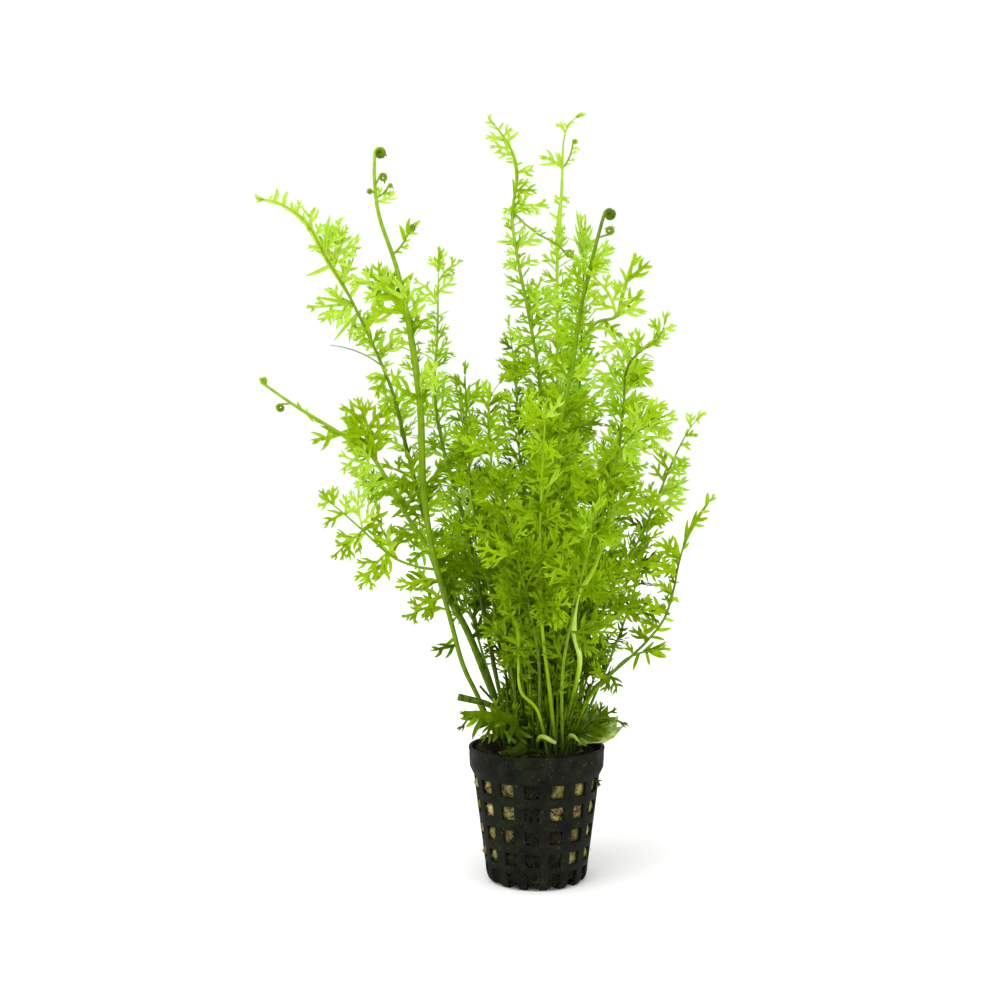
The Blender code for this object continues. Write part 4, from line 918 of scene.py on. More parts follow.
        [(59, 172, 59.5, 178, 1, 1), (57.5, 169, 62, 169.5, -2, 1), (55, 165, 60, 166, 2, 1),
         (50, 154, 58, 161, -2, 2), (50, 155, 48, 166, 3, 1), (47, 147, 58.5, 151, 2, 2),
         (45.5, 143, 58, 143, -2, 1), (44, 139, 54, 137, 2, 2), (44, 140, 42, 149, -3, 1),
         (62, 175.5, 62.5, 173, 1, 0), (57, 169.5, 58, 172, 1, 0), (53, 161, 59.5, 158, -1, 1),
         (51, 157, 58.5, 154, 1, 1), (49, 152, 44, 158, 2, 1), (48, 149, 53, 154, -1, 1),
         (47, 146, 57.5, 147, 1, 1), (43, 137, 50, 134, -1, 1), (52, 160, 48, 164.5, 2, 0)],
        (0.30, 0.60, 2, 16), crowd=(0.18, 0.66, 13),
        clear=(104, 170), paleness=0.20, breadth=1.20),
    "frond_right_low": Frond(
        [(15, 52, -3), (20.5, 69.5, -9), (28, 77, -12), (37, 85, -15), (43, 91, -17), (49, 99, -18),
         (52.5, 110, -18), (54.5, 120, -17), (58, 131, -16), (64.5, 141.5, -14), (69.5, 148, -13)],
        (2.0, 0.7),
        [(65, 142, 65.5, 147, 2, 0), (63, 139, 67, 140, -2, 0), (60, 134.5, 64, 134.5, 2, 0),
         (57, 129, 57.5, 137, 2, 0), (53.5, 115, 42, 121, -3, 3), (52, 107, 55, 105, -1, 0),
         (50, 101, 40, 108, 4, 2), (49, 99, 53, 98, -2, 0), (44, 92, 49.5, 90, 2, 0),
         (55.5, 123, 46, 129, -3, 2), (61.5, 137, 66, 137.5, -1, 0), (59, 133, 61.5, 141, 1, 0),
         (56, 126, 58.5, 128.5, 1, 0), (55, 121, 50, 131, 2, 2), (54, 117, 46, 116, 2, 2),
         (52, 108, 44, 112, -2, 2), (53, 112, 55, 113, 1, 0), (51.5, 104, 55, 107, 1, 1),
         (47, 96, 39, 99, 2, 2), (46, 94.5, 52, 95.5, -1, 0), (43, 91, 36, 96, 2, 2)],
        crowd=(0.44, 0.74, 9), wings=(0.80, 0.96, 0.9), clear=(72, 142), paleness=0.14, breadth=1.15),
    "frond_right_lowest": Frond(
        [(12, 52, -6), (19.5, 67, -16), (28, 77, -22), (34, 83, -25), (41, 86, -26), (50, 87.5, -26)],
        (1.9, 0.9),
        [(39, 85, 36.8, 78.3, -2, 0), (42, 86, 45, 80, 2, 0), (44, 86.4, 50, 84, -2, 0),
         (41, 86, 45, 91, -2, 0), (28, 77, 31, 68.5, 2, 1), (42, 86.5, 50, 90, 1, 0),
         (43, 86.4, 49.5, 83.5, 1, 0), (28, 77, 25.5, 69.5, 1, 1), (37, 84.5, 33, 90, 2, 1),
         (27, 76, 20, 83, 3, 2)], crowd=(0.3, 0.6, 8)),
    "frond_centre_front": Frond(
        [(7.5, 52, -12), (5, 71, -20), (2.5, 91, -28), (1.3, 110, -34), (1.5, 140, -40),
         (3, 170, -44), (4, 182, -45)],
        (2.6, 0.9),
        [(3, 174, -9, 177, -3, 2), (3, 174, 14, 173, 2, 2), (2.6, 167, -7, 162, 2, 2),
         (2.6, 167, 10, 160, -3, 2), (3.5, 176, -5, 186, 2, 2), (3.5, 176, 10, 185, -1, 2)],
        (0.40, 0.74, 3, 18), crowd=(0.14, 0.90, 15),
        clear=(54, 112), paleness=-0.03, breadth=0.90, tones=(0.30, 0.55, 0.60, 0.5)),
    "frond_right_back": Frond(
        [(8, 52, 8), (12, 100, 21), (15, 150, 31), (17, 200, 36), (18, 230, 38), (17, 253, 38)],
        (2.0, 0.9),
        [(18, 238, 21.5, 250, -3, 1), (17.9, 231, 29, 241, 2, 2), (17.8, 240, 15, 251, 2, 0),
         (17.5, 244, 15.5, 256, 1, 0), (17.6, 242, 18.5, 254, -1, 0), (17.8, 239, 14, 246, -1, 0),
         (17.8, 237, 21, 246, 1, 1)],
        (0.40, 0.84, 3, 17), crowd=(0.20, 0.95, 15), wings=(0.88, 1.0, 0.8),
        paleness=0.16),
    # The fronds at the back and inside have darker leaves: painted shade for the inside of the plant, where
    # light is blocked
    "frond_inner_back": Frond(
        [(-1, 52, 9), (-3, 100, 20), (-6, 150, 29), (-8, 190, 33), (-11, 214, 35)],
        (1.9, 0.8), (),
        (0.38, 0.92, 4, 17),
        paleness=-0.18),
    "frond_back_left": Frond(
        [(-4, 52, 13), (-12, 90, 25), (-21, 130, 36), (-27, 165, 43), (-31, 190, 46)],
        (2.0, 0.8), (),
        (0.34, 0.92, 4, 17),
        paleness=-0.18),
    "frond_back_centre": Frond(
        [(2, 52, 14), (4, 95, 30), (8, 140, 43), (12, 180, 51), (14, 218, 56)],
        (2.2, 0.8), (),
        (0.36, 0.92, 4, 18),
        paleness=-0.20),
    "frond_back_right": Frond(
        [(9.5, 52, 12.5), (18, 90, 26), (26, 130, 36), (32, 165, 42), (35, 200, 45)],
        (2.0, 0.8), (),
        (0.36, 0.92, 4, 17),
        paleness=-0.18),
    "frond_back_low": Frond(
        [(-1, 52, 15), (-3, 80, 35), (-4, 105, 50), (-3, 130, 60), (-1, 150, 65)],
        (1.9, 0.8), (),
        (0.40, 0.92, 3, 17),
        paleness=-0.22),
    "frond_back_right_low": Frond(
        [(13.5, 52, 8), (26, 78, 20), (36, 105, 29), (42, 130, 34), (44, 150, 36)],
        (1.8, 0.8), (),
        (0.42, 0.92, 3, 15),
        paleness=-0.20),
    "frond_back_left_low": Frond(
        [(-8.5, 52, 10), (-19, 80, 20), (-27, 108, 28), (-32, 130, 33), (-33, 148, 35)],
        (1.8, 0.8), (),
        (0.42, 0.92, 3, 15),
        paleness=-0.20),
    "frond_front_left": Frond(
        [(0.5, 52, -12), (1, 80, -25), (-3, 104, -35), (-8, 125, -42), (-13, 145, -46), (-15, 162, -49)],
        (2.2, 0.8), (),
        (0.44, 0.92, 3, 17),
        paleness=-0.04, breadth=0.85, tones=(0.05, 0.20, 0.40)),
    "frond_front_right": Frond(
        [(10, 52, -14), (10, 78, -30), (15, 105, -40), (21, 130, -46), (25, 150, -50)],
        (2.0, 0.8), (),
        (0.42, 0.92, 3, 17),
        breadth=0.85),
    "frond_front_drooping": Frond(
        [(4.6, 53, -15.2), (0.6, 63, -20), (-6, 71, -23), (-7, 83, -25), (-7, 94, -27),
         (-10, 100, -28), (-14, 97, -29)],
        (1.8, 0.9),
        [(-6.5, 92, -2, 100, -3, 1), (-7, 97, -13, 104, 3, 1), (-7, 84, -12, 88, -3, 2),
         (-7, 82, -1, 90, -4, 2), (-7.5, 86, -15, 80, -5, 2), (-7, 78, -2, 76, -4, 1),
         (-9, 99, -15, 102, -1, 0), (-11, 99.3, -16, 97, -2, 0), (-8, 98, -2, 103, -2, 0),
         (-12.5, 98, -12, 92, -2, 0), (-7, 89, -13, 92, -3, 0), (-7, 90, -2, 94, -3, 0),
         (-6.8, 80, -13, 84, -3, 1)], wings=(0.72, 1.0, 1.1),
        clear=(54, 100), paleness=0.10, tones=(0.30, 0.56, 0.48), slimness=(0.70, 0.90, 0.55)),
    "base_leaf_left": Frond(
        [(-8, 52, -10), (-14, 59, -14), (-20, 61.5, -16), (-28, 62.5, -17)],
        (1.8, 1.8),
        [(-20, 61.5, -23, 66, 0, 0), (-19, 61, -26, 52.5, -3, 0), (-14.5, 59, -17, 51.5, -4, 0),
         (-22, 62, -27.5, 57, -2, 0), (-16, 60, -21, 51, -4, 1), (-13, 58, -8, 50.5, -4, 1),
         (-17, 61, -14, 68, 0, 1), (-21, 62, -29, 60, 1, 0)], wings=(0.4, 1.0, 2.0),
        paleness=-0.10, tones=(0.10, 0.45), slimness=(0.5, 0.3)),
    "base_leaf_left_back": Frond(
        [(-12.5, 52, 3), (-18, 60, 2), (-23, 63, 2), (-29, 57, 1)],
        (1.6, 1.6),
        [(-21, 62, -24, 68, 0, 0), (-18, 59, -24, 56, 3, 0)],
        paleness=-0.05, tones=(0.10, 0.40), slimness=(0.5, 0.3)),
    "base_leaf_front": Frond(
        [(-6.2, 52, -11.2), (-8, 57.5, -16.5), (-10.5, 60.5, -19.5), (-15, 63, -21)],
        (1.7, 1.5),
        [(-9, 59.5, -10.5, 51, -3, 0), (-7.5, 57, -2, 53.5, -4, 0), (-11, 61, -16, 57, -3, 0),
         (-10, 60.5, -8, 67, -1, 1), (-8.5, 58.5, -5, 50.5, -4, 0)], wings=(0.5, 1.0, 1.7),
        paleness=-0.10, tones=(0.1, 0.4), slimness=(0.5, 0.3)),
    "base_leaf_inside_rim": Frond(
        [(-3.4, 52, -12.4), (-4.2, 50.5, -15.5), (-6.5, 48.5, -18), (-11, 46.8, -19.3)],
        (2.2, 2.4),
        [(-6.5, 48.5, 2, 46.6, -2, 0), (-7, 48.3, -12, 49.5, 0, 0), (-6, 48.8, 5, 48.5, -1, 0),
         (-8, 47.8, -10, 45.6, -1, 0), (-5, 49.6, 3, 47.4, -2, 0), (-5.2, 49.4, -7, 53, 0, 0),
         (-9.5, 47.2, -15, 47.8, -1, 0)], wings=(0.2, 1.0, 2.3),
        paleness=0.06, tones=(0.1, 0.4), slimness=(0.3, 0.2)),
    "base_leaf_right_pale": Frond(
        [(13.5, 52, -11), (18, 57, -15.5), (25, 61, -18.5), (34, 58.5, -19.5)],
        (3.2, 2.6),
        [(19, 58, 27, 53, -2, 0), (24, 61, 28, 66, 2, 0), (19, 57.5, 30, 64, 1, 1),
         (18, 56.5, 31, 61, -1, 0), (17, 55, 29, 57, -2, 1), (17, 54.5, 25, 52, -3, 0),
         (20, 59, 22, 67, 2, 1)],
        paleness=-0.18, tones=(0.05, 0.2), slimness=(0.35, 0.2)),
    "base_leaf_right_curled": Frond(
        [(10.5, 52, -10.5), (13, 54, -16), (17, 51, -18.5)],
        (1.8, 1.6),
        tones=(-0.6, -0.4, 0.7, 0.95), slimness=(0.12, 0.4, 1.1, 0.4)),
    "cut_stem_left": Frond(
        [(-11.5, 52, -6), (-14, 61, -8), (-18, 65.7, -10), (-30, 68.8, -12)],
        (2.0, 3.0), cut=True,
        tones=(0.10, 0.02), slimness=(0.8, 0.95)),
    "cut_stem_left_small": Frond(
        [(-9.5, 52, 6.5), (-14.5, 64, 6), (-21.7, 73, 5)],
        (1.4, 1.2), cut=True,
        tones=(0.10, 0.02), slimness=(0.8, 0.9)),
    "cut_stem_front": Frond(
        [(-0.5, 52, -15.2), (1.3, 53.4, -20), (7.4, 51.1, -20.5)],
        (1.8, 1.8), cut=True,
        tones=(-0.9, -0.9, 0.2, 1.0, 1.1), slimness=(0.12, 0.3, 0.9, 1.0, 0.8)),
}

# How far the crowded leaves reach in the front view, all round the plant from the left of the pot
LEAF_OUTLINE = [
    (-18, 50), (-24, 56), (-21, 66), (-19, 74), (-19, 84), (-24, 92), (-30, 100), (-34, 108), (-39, 117),
    (-46, 128), (-54, 138), (-60, 148), (-66, 156), (-72, 164), (-70, 176), (-65, 183), (-61, 192),
    (-66, 201), (-74, 208), (-76, 220), (-66, 233), (-56, 231), (-48, 226), (-46, 229), (-38, 236),
    (-31, 230), (-35, 216), (-30, 204), (-29, 194), (-20, 189), (-14, 187), (-14, 206), (-12, 222),
    (-14, 236), (-13, 252), (-9, 264), (0, 266), (4, 254), (12, 258), (16, 255), (23, 248), (29, 240),
    (35, 235), (43, 230), (43, 216), (50, 209), (46, 198), (45, 184), (52, 178), (51, 166), (44, 156),
    (44, 148), (52, 140), (54, 130), (53, 112), (50, 98), (45, 92), (36, 82), (27, 72), (30, 60), (24, 50),
]
# How far they reach to the front and the back, and the least length that is worth growing
DEEPEST_LEAF = (-55.0, 68.0)
ENOUGH_LEAF = 4.0
# Where clear stalks stand, and how near to them in the view a leaf may come
clear_places = []
NEAR_STALK = 2.2
# The box across, back and up that every leaf stays in
FULL_REACH = ((-108.5, 66.6), (-56.2, 69.4), (0.0, 299.2))
# How far apart side branches stand on a stalk, and leaflets on a twig
SPRAY_STEP = 1.78
TWIG_STEP = 2.6
# The share of a side branch that is bare, and the length below which it is one leaflet
FIRST_LEAFLET = 0.14
LONGEST_LEAFLET = 13.0
# How pale a rolled bud is
BUD_TONE = 0.16
# A side branch whose foot lies farther than this from its stalk starts beside it, on another branch
OFF_STALK = 3.0


def seen(across, up, back):
    """The point that takes this place in the front view and lies this far back."""
    return EYE + (Vector((across, 0.0, up)) - EYE) * ((back - EYE.y) / -EYE.y)


def shown_at(point):
    """The place that a point takes in the front view."""
    return EYE + (point - EYE) * (-EYE.y / (point.y - EYE.y))


def hides_stalk(start, tip, length):
    """Whether a side branch would hang in front of a clear stalk."""
    near = NEAR_STALK + 0.10 * length
    for share in (0.35, 0.65, 0.95):
        spot = start.lerp(tip, share)
        shown = shown_at(spot)
        for place, depth in clear_places:
            if spot.y < depth - 0.3 and abs(shown.x - place.x) < near and abs(shown.z - place.z) < near:
                return True
    return False


def in_crowd(point):
    """Whether a point is within the plant's leafy outline, by the crossings of a level line."""
    if not DEEPEST_LEAF[0] < point.y < DEEPEST_LEAF[1]:
        return False
    shown = shown_at(point)
    inside = False
    for (x0, z0), (x1, z1) in zip(LEAF_OUTLINE, LEAF_OUTLINE[1:] + LEAF_OUTLINE[:1]):
        if (z0 > shown.z) != (z1 > shown.z) and shown.x < x0 + (shown.z - z0) * (x1 - x0) / (z1 - z0):
            inside = not inside
    return inside


def smooth_through(points, steps=8):
    """A smooth run of points through the given ones."""
    run = []
    ends = [2 * points[0] - points[1]] + points + [2 * points[-1] - points[-2]]
    for before, start, end, after in zip(ends, ends[1:], ends[2:], ends[3:]):
        for step in range(steps):
            t = step / steps
            run.append(0.5 * (
                2 * start + (end - before) * t
                + (2 * before - 5 * start + 4 * end - after) * t ** 2
                + (3 * start - before - 3 * end + after) * t ** 3
            ))
    run.append(points[-1].copy())
    return run


def coil_points(end, along, side, radius, turns):
    """A flat spiral that leaves end in the direction along and curls towards side."""
    centre = end + side * radius
    points = []
    for step in range(1, round(turns * 20) + 1):
        angle = step * math.pi / 10
        reach = radius * (1 - 0.42 * angle / (2 * math.pi))
        points.append(centre + reach * (math.sin(angle) * along - math.cos(angle) * side))
    return points


class Line:
    """A line of points, with the place and the direction at any distance along it."""

    def __init__(self, points):
        self.points = points
        self.marks = [0.0]
        for start, end in zip(points, points[1:]):
            self.marks.append(self.marks[-1] + (end - start).length)
        self.length = self.marks[-1]

    def place(self, distance):
        """The point at a distance along the line."""
        distance = min(max(distance, 0.0), self.length)
        index = min(bisect_right(self.marks, distance), len(self.points) - 1)
        start = self.marks[index - 1]
        share = (distance - start) / max(self.marks[index] - start, 1e-6)
        return self.points[index - 1].lerp(self.points[index], share)

    def along(self, distance):
        """The direction of the line at a distance along it."""
        return (self.place(distance + 0.6) - self.place(distance - 0.6)).normalized()

    def nearest(self, point):
        """How far along the line its nearest given point lies."""
        index = min(range(len(self.points)), key=lambda key: (self.points[key] - point).length)
        return self.marks[index]


def square_to(direction, facing):
    """The sideways and forward directions of a leaf that runs in a direction and faces a way."""
    side = direction.cross(facing).normalized()
    return side, side.cross(direction).normalized()


def turned(vector, axis, angle):
    """A direction that is turned round an axis, by degrees."""
    return Matrix.Rotation(math.radians(angle), 3, axis) @ vector


class Growth:
    """The lines of a frond's stalk and ribs, and the places of its leaflets, in millimetres."""

    def __init__(self, paleness, breadth=1.0):
        self.paleness = paleness
        self.breadth = breadth
        self.lines = []
        self.leaflets = []

    def has_room(self, tip):
        """Whether a leaf's tip stays within the plant's full reach."""
        return all(low < value < high for value, (low, high) in zip(tip, FULL_REACH))

    def tone(self, place, rng):
        """How pale a leaf is: young leaves, high up, are paler, and painted shade darkens leaves low down
        and near the middle, where light is blocked.
        """
        # Painted shade: the lower a leaf is and the nearer the plant's middle, the darker it is
        height = (place.z - 90) / 250
        outside_painted_light = math.hypot(place.x + 5, place.y) / 230
        return clamped(0.12 + self.paleness + height + outside_painted_light + rng.uniform(-0.30, 0.30))

    def stalk(self, points, radii, tones):
        """A round line, with a radius and a tone at each point."""
        self.lines.append((points, radii, tones, [FRONT] * len(points)))

    def rib(self, points, widths, facing, tone):
        """A flat leafy rib that faces a way."""
        directions = [end - start for start, end in zip(points, points[1:])]
        sides = [square_to(way.normalized(), facing)[0] for way in directions + directions[-1:]]
        self.lines.append((points, widths, [tone] * len(points), sides))

    def leaflet(self, start, way, facing, length, rng, tone, lobes=None, width=1.0):
        """Place one leaflet; how often it forks suits its length."""
        if lobes is None:
            lobes = 0 if length < 3.4 else 1 if length < 6.0 else 2 if length < 8.5 else 3
        side, front = square_to(way, facing)
        while length > 1.0 and not self.has_room(start + way * length * 1.02):
            length *= 0.85
        turn = Matrix((side, way, front)).transposed().to_euler()
        shape = lobes * LEAFLET_SHAPES + rng.randrange(LEAFLET_SHAPES)
        self.leaflets.append((start, turn, (self.breadth * width * length, length, length), shape, tone))

    def spray(self, start, tip, facing, rng, tone=None):
        """A side branch of the frond: leaflets by turns on both sides of a bowed leafy rib."""
        run = tip - start
        length = run.length
        way = run.normalized()
        if tone is None:
            tone = self.tone(tip, rng)
        if length < LONGEST_LEAFLET * self.breadth:
            self.leaflet(start, way, facing, length, rng, tone)
            return
        side, front = square_to(way, facing)
        bow = UP * length * rng.uniform(0.0, 0.08) + side * length * rng.uniform(-0.07, 0.07)
        points = [start + run * t * 0.8 + bow * 4 * t * (1 - t) for t in (0, 0.25, 0.5, 0.75, 1)]
        rib = Line(points)
        self.rib(points, (0.40, 0.52, 0.58, 0.52, 0.36), front, tone - 0.04)
        count = max(3, round(length * 0.8 / (self.breadth * rng.uniform(2.2, 2.8))))
        first_sign = rng.choice((-1, 1))
        for number in range(count):
            share = FIRST_LEAFLET + (0.97 - FIRST_LEAFLET) * (number + 0.3) / count
            sign = first_sign if number % 2 else -first_sign
            along = rib.along(share * rib.length)
            rib_side, rib_front = square_to(along, facing)
            angle = math.radians(rng.uniform(36, 60))
            branch = along * math.cos(angle) + rib_side * sign * math.sin(angle)
            branch = (branch + rib_front * rng.uniform(-0.2, 0.3)).normalized()
            reach = min(11.0, length * (0.56 - 0.22 * share)) * rng.uniform(0.75, 1.25)
            leaf_facing = turned(rib_front, along, -sign * rng.uniform(-10, 32))
            self.leaflet(
                rib.place(share * rib.length), branch, leaf_facing,
                reach, rng, min(1.0, tone + rng.uniform(-0.07, 0.07)),
            )
        last = points[-1]
        reach = 1.15 * (tip - last).length + 1.0
        self.leaflet(last, (tip - points[-2]).normalized(), facing, reach, rng, tone)

    def bud(self, start, tip, facing, rng):
        """A small leaf that is still rolled up round the tip, dark and crumpled."""
        run = tip - start
        radius = min(1.4, 0.3 * run.length)
        side = square_to(run.normalized(), facing)[0] * rng.choice((-1, 1))
        neck = tip - side * radius
        points = [start, start.lerp(neck, 0.5), neck]
        roll = coil_points(neck, run.normalized(), side, radius, 1.5)
        swell = [0.36, 0.40, 0.48] + [0.60 - 0.25 * step / len(roll) for step in range(len(roll))]
        tone = BUD_TONE + max(0.0, 1.6 * self.paleness) + rng.uniform(0.05, 0.2)
        self.stalk(points + roll, swell, [0.42] * 3 + [tone] * len(roll))
        self.frill(roll, 0.75, facing, rng)

    def twig(self, start, tip, facing, rng):
        """A thin side branch with a few small leaflets that ends in a bud."""
        run = tip - start
        side, _ = square_to(run.normalized(), facing)
        points = [start + run * t * 0.8 + side * run.length * 0.22 * t * (1 - t) for t in (0, 0.3, 0.6, 1)]
        self.stalk(points, [0.42, 0.40, 0.38, 0.36], [0.48, 0.46, 0.44, 0.42])
        line = Line(points)
        for number in range(round(line.length / TWIG_STEP)):
            distance = TWIG_STEP * number + 1.5
            way = turned(line.along(distance), facing, rng.choice((-1, 1)) * rng.uniform(35, 65))
            self.leaflet(
                line.place(distance), way, turned(facing, way, rng.uniform(-40, 40)),
                rng.uniform(2.2, 4.2), rng, self.tone(tip, rng),
            )
        self.bud(points[-1], tip, facing, rng)

    def frill(self, roll, radius, facing, rng):
        """Tiny leaflets that are rolled up with a coil and stand out round it."""
        line = Line(roll)
        distance = 0.4
        while distance < 0.75 * line.length:
            along = line.along(distance)
            side, front = square_to(along, facing)
            lean = rng.uniform(-0.9, 0.9)
            way = (side * rng.choice((-1, 1)) * 0.7 + front * lean + along * 0.6).normalized()
            self.leaflet(
                line.place(distance), way, turned(front, along, rng.uniform(-80, 80)),
                radius * rng.uniform(1.5, 2.5), rng, BUD_TONE + rng.uniform(0.0, 0.36), lobes=0,
            )
            distance += rng.uniform(0.35, 0.7)


def between(values, share):
    """The value at a share of the way along evenly spaced ones."""
    place = share * (len(values) - 1)
    index = min(int(place), len(values) - 2)
    return values[index] + (values[index + 1] - values[index]) * (place - index)


def grow_frond(name, spec):
    """Follow the frond's route and place everything that grows on it."""
    rng = random.Random(f"{name} looks")
    growth = Growth(spec.paleness, spec.breadth)
    corners = [seen(*point) for point in spec.route]
    from_middle = math.hypot(corners[0].x - CROWN_CENTRE[0], corners[0].y - CROWN_CENTRE[1])
    if from_middle < CROWN_RADIUS:
        corners[0].z = crown_height(from_middle) - 0.8
    route = [point for point in smooth_through(corners) if growth.has_room(point)]
    coil_from = len(route)
    if spec.coil:
        along = (route[-1] - route[-2]).normalized()
        side, _ = square_to(along, FRONT)
        for point in coil_points(route[-1], along, side, spec.coil, 2.25):
            route.append(point + FRONT * rng.uniform(-0.25, 0.25) + UP * rng.uniform(-0.12, 0.12))
    stalk = Line(route)
    usable = stalk.marks[coil_from - 1]
    first_width, last_width = spec.widths
    # Stalks that don't show well have tones by chance, drawn for every frond
    chance_tones = [rng.uniform(*ends) for ends in ((0.0, 0.10), (0.16, 0.42), (0.20, 0.40), (0.34, 0.52))]
    stalk_tones = spec.tones or chance_tones
    coil_tone = spec.coil_tone or BUD_TONE
    radii = []
    tones = []
    for index, mark in enumerate(stalk.marks):
        share = min(1.0, mark / usable)
        radius = between(spec.slimness, share) * (first_width * (1 - share) + last_width * share) / 2
        tone = between(stalk_tones, share)
        if not (spec.coil or spec.cut):
            radius *= min(1.0, 0.25 + 6 * (1 - share))
        if index >= coil_from:
            rolled = (index - coil_from) / (len(route) - coil_from)
            radius *= min(1.0 + 3 * rolled, 1.25 - 0.5 * rolled)
            tone += (coil_tone - tone) * min(1.0, 5 * rolled)
        radii.append(radius)
        tones.append(tone)
    growth.stalk(route, radii, tones)
    if spec.coil:
        growth.frill(route[coil_from + 4:], 0.45 * last_width, FRONT, rng)
    elif not spec.cut:
        start = stalk.place(usable - 3.5)
        way = (route[-1] - start).normalized()
        growth.leaflet(start, way, turned(FRONT, way, rng.uniform(-40, 40)), 5.5, rng,
                       growth.tone(route[-1], rng))
    if spec.wings:
        first, last, width = spec.wings
        marks = [usable * (first + (last - first) * step / 8) for step in range(9)]
        swell = [width * (0.35 + 0.65 * math.sin(math.pi * min(0.9, (step + 1) / 9))) for step in range(9)]
        growth.rib([stalk.place(mark) for mark in marks], swell, FRONT, growth.tone(route[-1], rng))
    for pinna in spec.pinnae:
        grow_pinna(growth, stalk, pinna, 2.0 if name.startswith("base_leaf") else 1.35, rng)
    if spec.fill:
        grow_fill(growth, stalk, usable, spec.fill, random.Random(name), rng)
    crowd = spec.crowd or (spec.fill and (spec.fill[0] - 0.16, 0.95, spec.fill[3] - 1))
    if crowd:
        grow_crowd(growth, stalk, usable, crowd, rng)
    return growth


def grow_pinna(growth, stalk, pinna, broadest, rng):
    """Grow what a row of the table says; broadest is the greatest width of a single blade."""
    x0, z0, x1, z1, lean, pairs = pinna
    back = min(stalk.points, key=lambda point: abs(point.x - x0) + abs(point.z - z0)).y
    start = stalk.place(stalk.nearest(seen(x0, z0, back)))
    if (start - seen(x0, z0, back)).length > OFF_STALK:
        start = seen(x0, z0, back)
    tip = seen(x1, z1, back + lean)
    length = (tip - start).length
    way = (tip - start).normalized()
    facing = turned(FRONT, way, rng.uniform(-25, 25))
    if pairs == COIL:
        growth.bud(start, tip, facing, rng)
    elif pairs == TWIG:
        growth.twig(start, tip, facing, rng)
    elif pairs == TENDRIL:
        sag = (square_to(way, facing)[0] + UP * 0.4) * length * rng.uniform(-0.08, 0.08)
        points = [start.lerp(tip, t / 5) + sag * 4 * (t / 5) * (1 - t / 5) for t in range(6)]
        growth.stalk(points, [0.34, 0.30, 0.26, 0.24, 0.20, 0.12], [0.35] * 6)
    elif pairs == 0:
        width = min(1.0, broadest / (LEAFLET_WIDTHS[0] * length))
        growth.leaflet(start, way, facing, length, rng, growth.tone(tip, rng), 0, width)
    else:
        growth.spray(start, tip, facing, rng)


def grow_fill(growth, stalk, usable, fill, solid_rng, rng):
    """Pairs of side branches, each where the frond's solid has one."""
    first, last, count, reach = fill
    outward = 1 if stalk.place(stalk.length).y < 14.0 else -1
    for number in range(count):
        share = first + (last - first) * (number + 0.5) / count
        for side in (-1, 1):
            distance = usable * (share + solid_rng.uniform(-0.01, 0.01))
            along = stalk.along(distance)
            side_axis, _ = square_to(along, FRONT)
            angle = math.radians(58 + solid_rng.uniform(-12, 12))
            length = reach * (1.15 - 0.6 * number / count) * solid_rng.uniform(0.85, 1.15)
            way = along * math.cos(angle) + side_axis * side * math.sin(angle)
            turn = -solid_rng.uniform(-18, 62) * side * outward
            start = stalk.place(distance)
            growth.spray(
                start, start + turned(way * length, along, turn), turned(FRONT, along, turn), rng
            )


def grow_crowd(growth, stalk, usable, crowd, rng, spread=(36, 66), bare_to=100.0):
    """Sprays on both sides of a stalk, each as long as the plant's outline leaves room for.

    A stalk has few leaves low down, below bare_to.
    """
    first, last, reach = crowd
    distance = first * usable
    plane = rng.uniform(-40, 40)
    hand = 0
    while distance < last * usable:
        progress = (distance / usable - first) / (last - first)
        along = stalk.along(distance)
        side_axis, front_axis = square_to(along, FRONT)
        hand = 180 - hand
        bearing = plane + hand + rng.uniform(-62, 62)
        aside = side_axis * math.cos(math.radians(bearing))
        ahead = front_axis * math.sin(math.radians(bearing))
        angle = math.radians(rng.uniform(*spread))
        length = reach * (1.05 - 0.5 * progress) * rng.uniform(0.7, 1.15)
        start = stalk.place(distance)
        way = along * math.cos(angle) + (aside + ahead) * math.sin(angle)
        if hides_stalk(start, start + way * length, length):
            way = along * math.cos(angle) + (aside - ahead) * math.sin(angle)
            if hides_stalk(start, start + way * length, length):
                length *= 0.3
        if rng.random() < 0.35:
            facing = turned(along, way, rng.uniform(-30, 30))
        else:
            facing = turned(FRONT, way, rng.uniform(-50, 50))
        if start.z < bare_to and rng.random() < 0.65:
            length = 0.0
        while length > ENOUGH_LEAF and not in_crowd(start + way * length):
            length *= 0.8
        if length > ENOUGH_LEAF:
            growth.spray(start, start + way * length, facing, rng)
        distance += SPRAY_STEP * rng.uniform(0.75, 1.25)


leaf_finish, leaf_tree, leaf_shader = new_finish("leaf_lime_green", 0.6, 0.05)
stalk_finish, stalk_tree, stalk_shader = new_finish("stalk_green", 0.5, 0.10)

# Leaflets: unit shapes along +Y, narrow and forked like antlers. A lobe is a blade of nearly even
# width, folded along its middle, that bends to one side. Like ones differ in every bend and length.
# The width of a leaflet's blade as a share of its length: with no lobes, then two, three and four
LEAFLET_WIDTHS = (0.28, 0.205, 0.158, 0.122)
LEAFLET_SHAPES = 10
# How deep the fold is and how thick the blade, as shares of its width
LOBE_FOLD = 0.16
LOBE_THICKNESS = 0.10
# Where each lobe leaves the blade, and its length
LOBE_PLACES = (
    (), ((0.32, 0.60), (0.58, 0.38)), ((0.20, 0.60), (0.42, 0.50), (0.64, 0.34)),
    ((0.14, 0.56), (0.32, 0.56), (0.50, 0.44), (0.68, 0.30)),
)


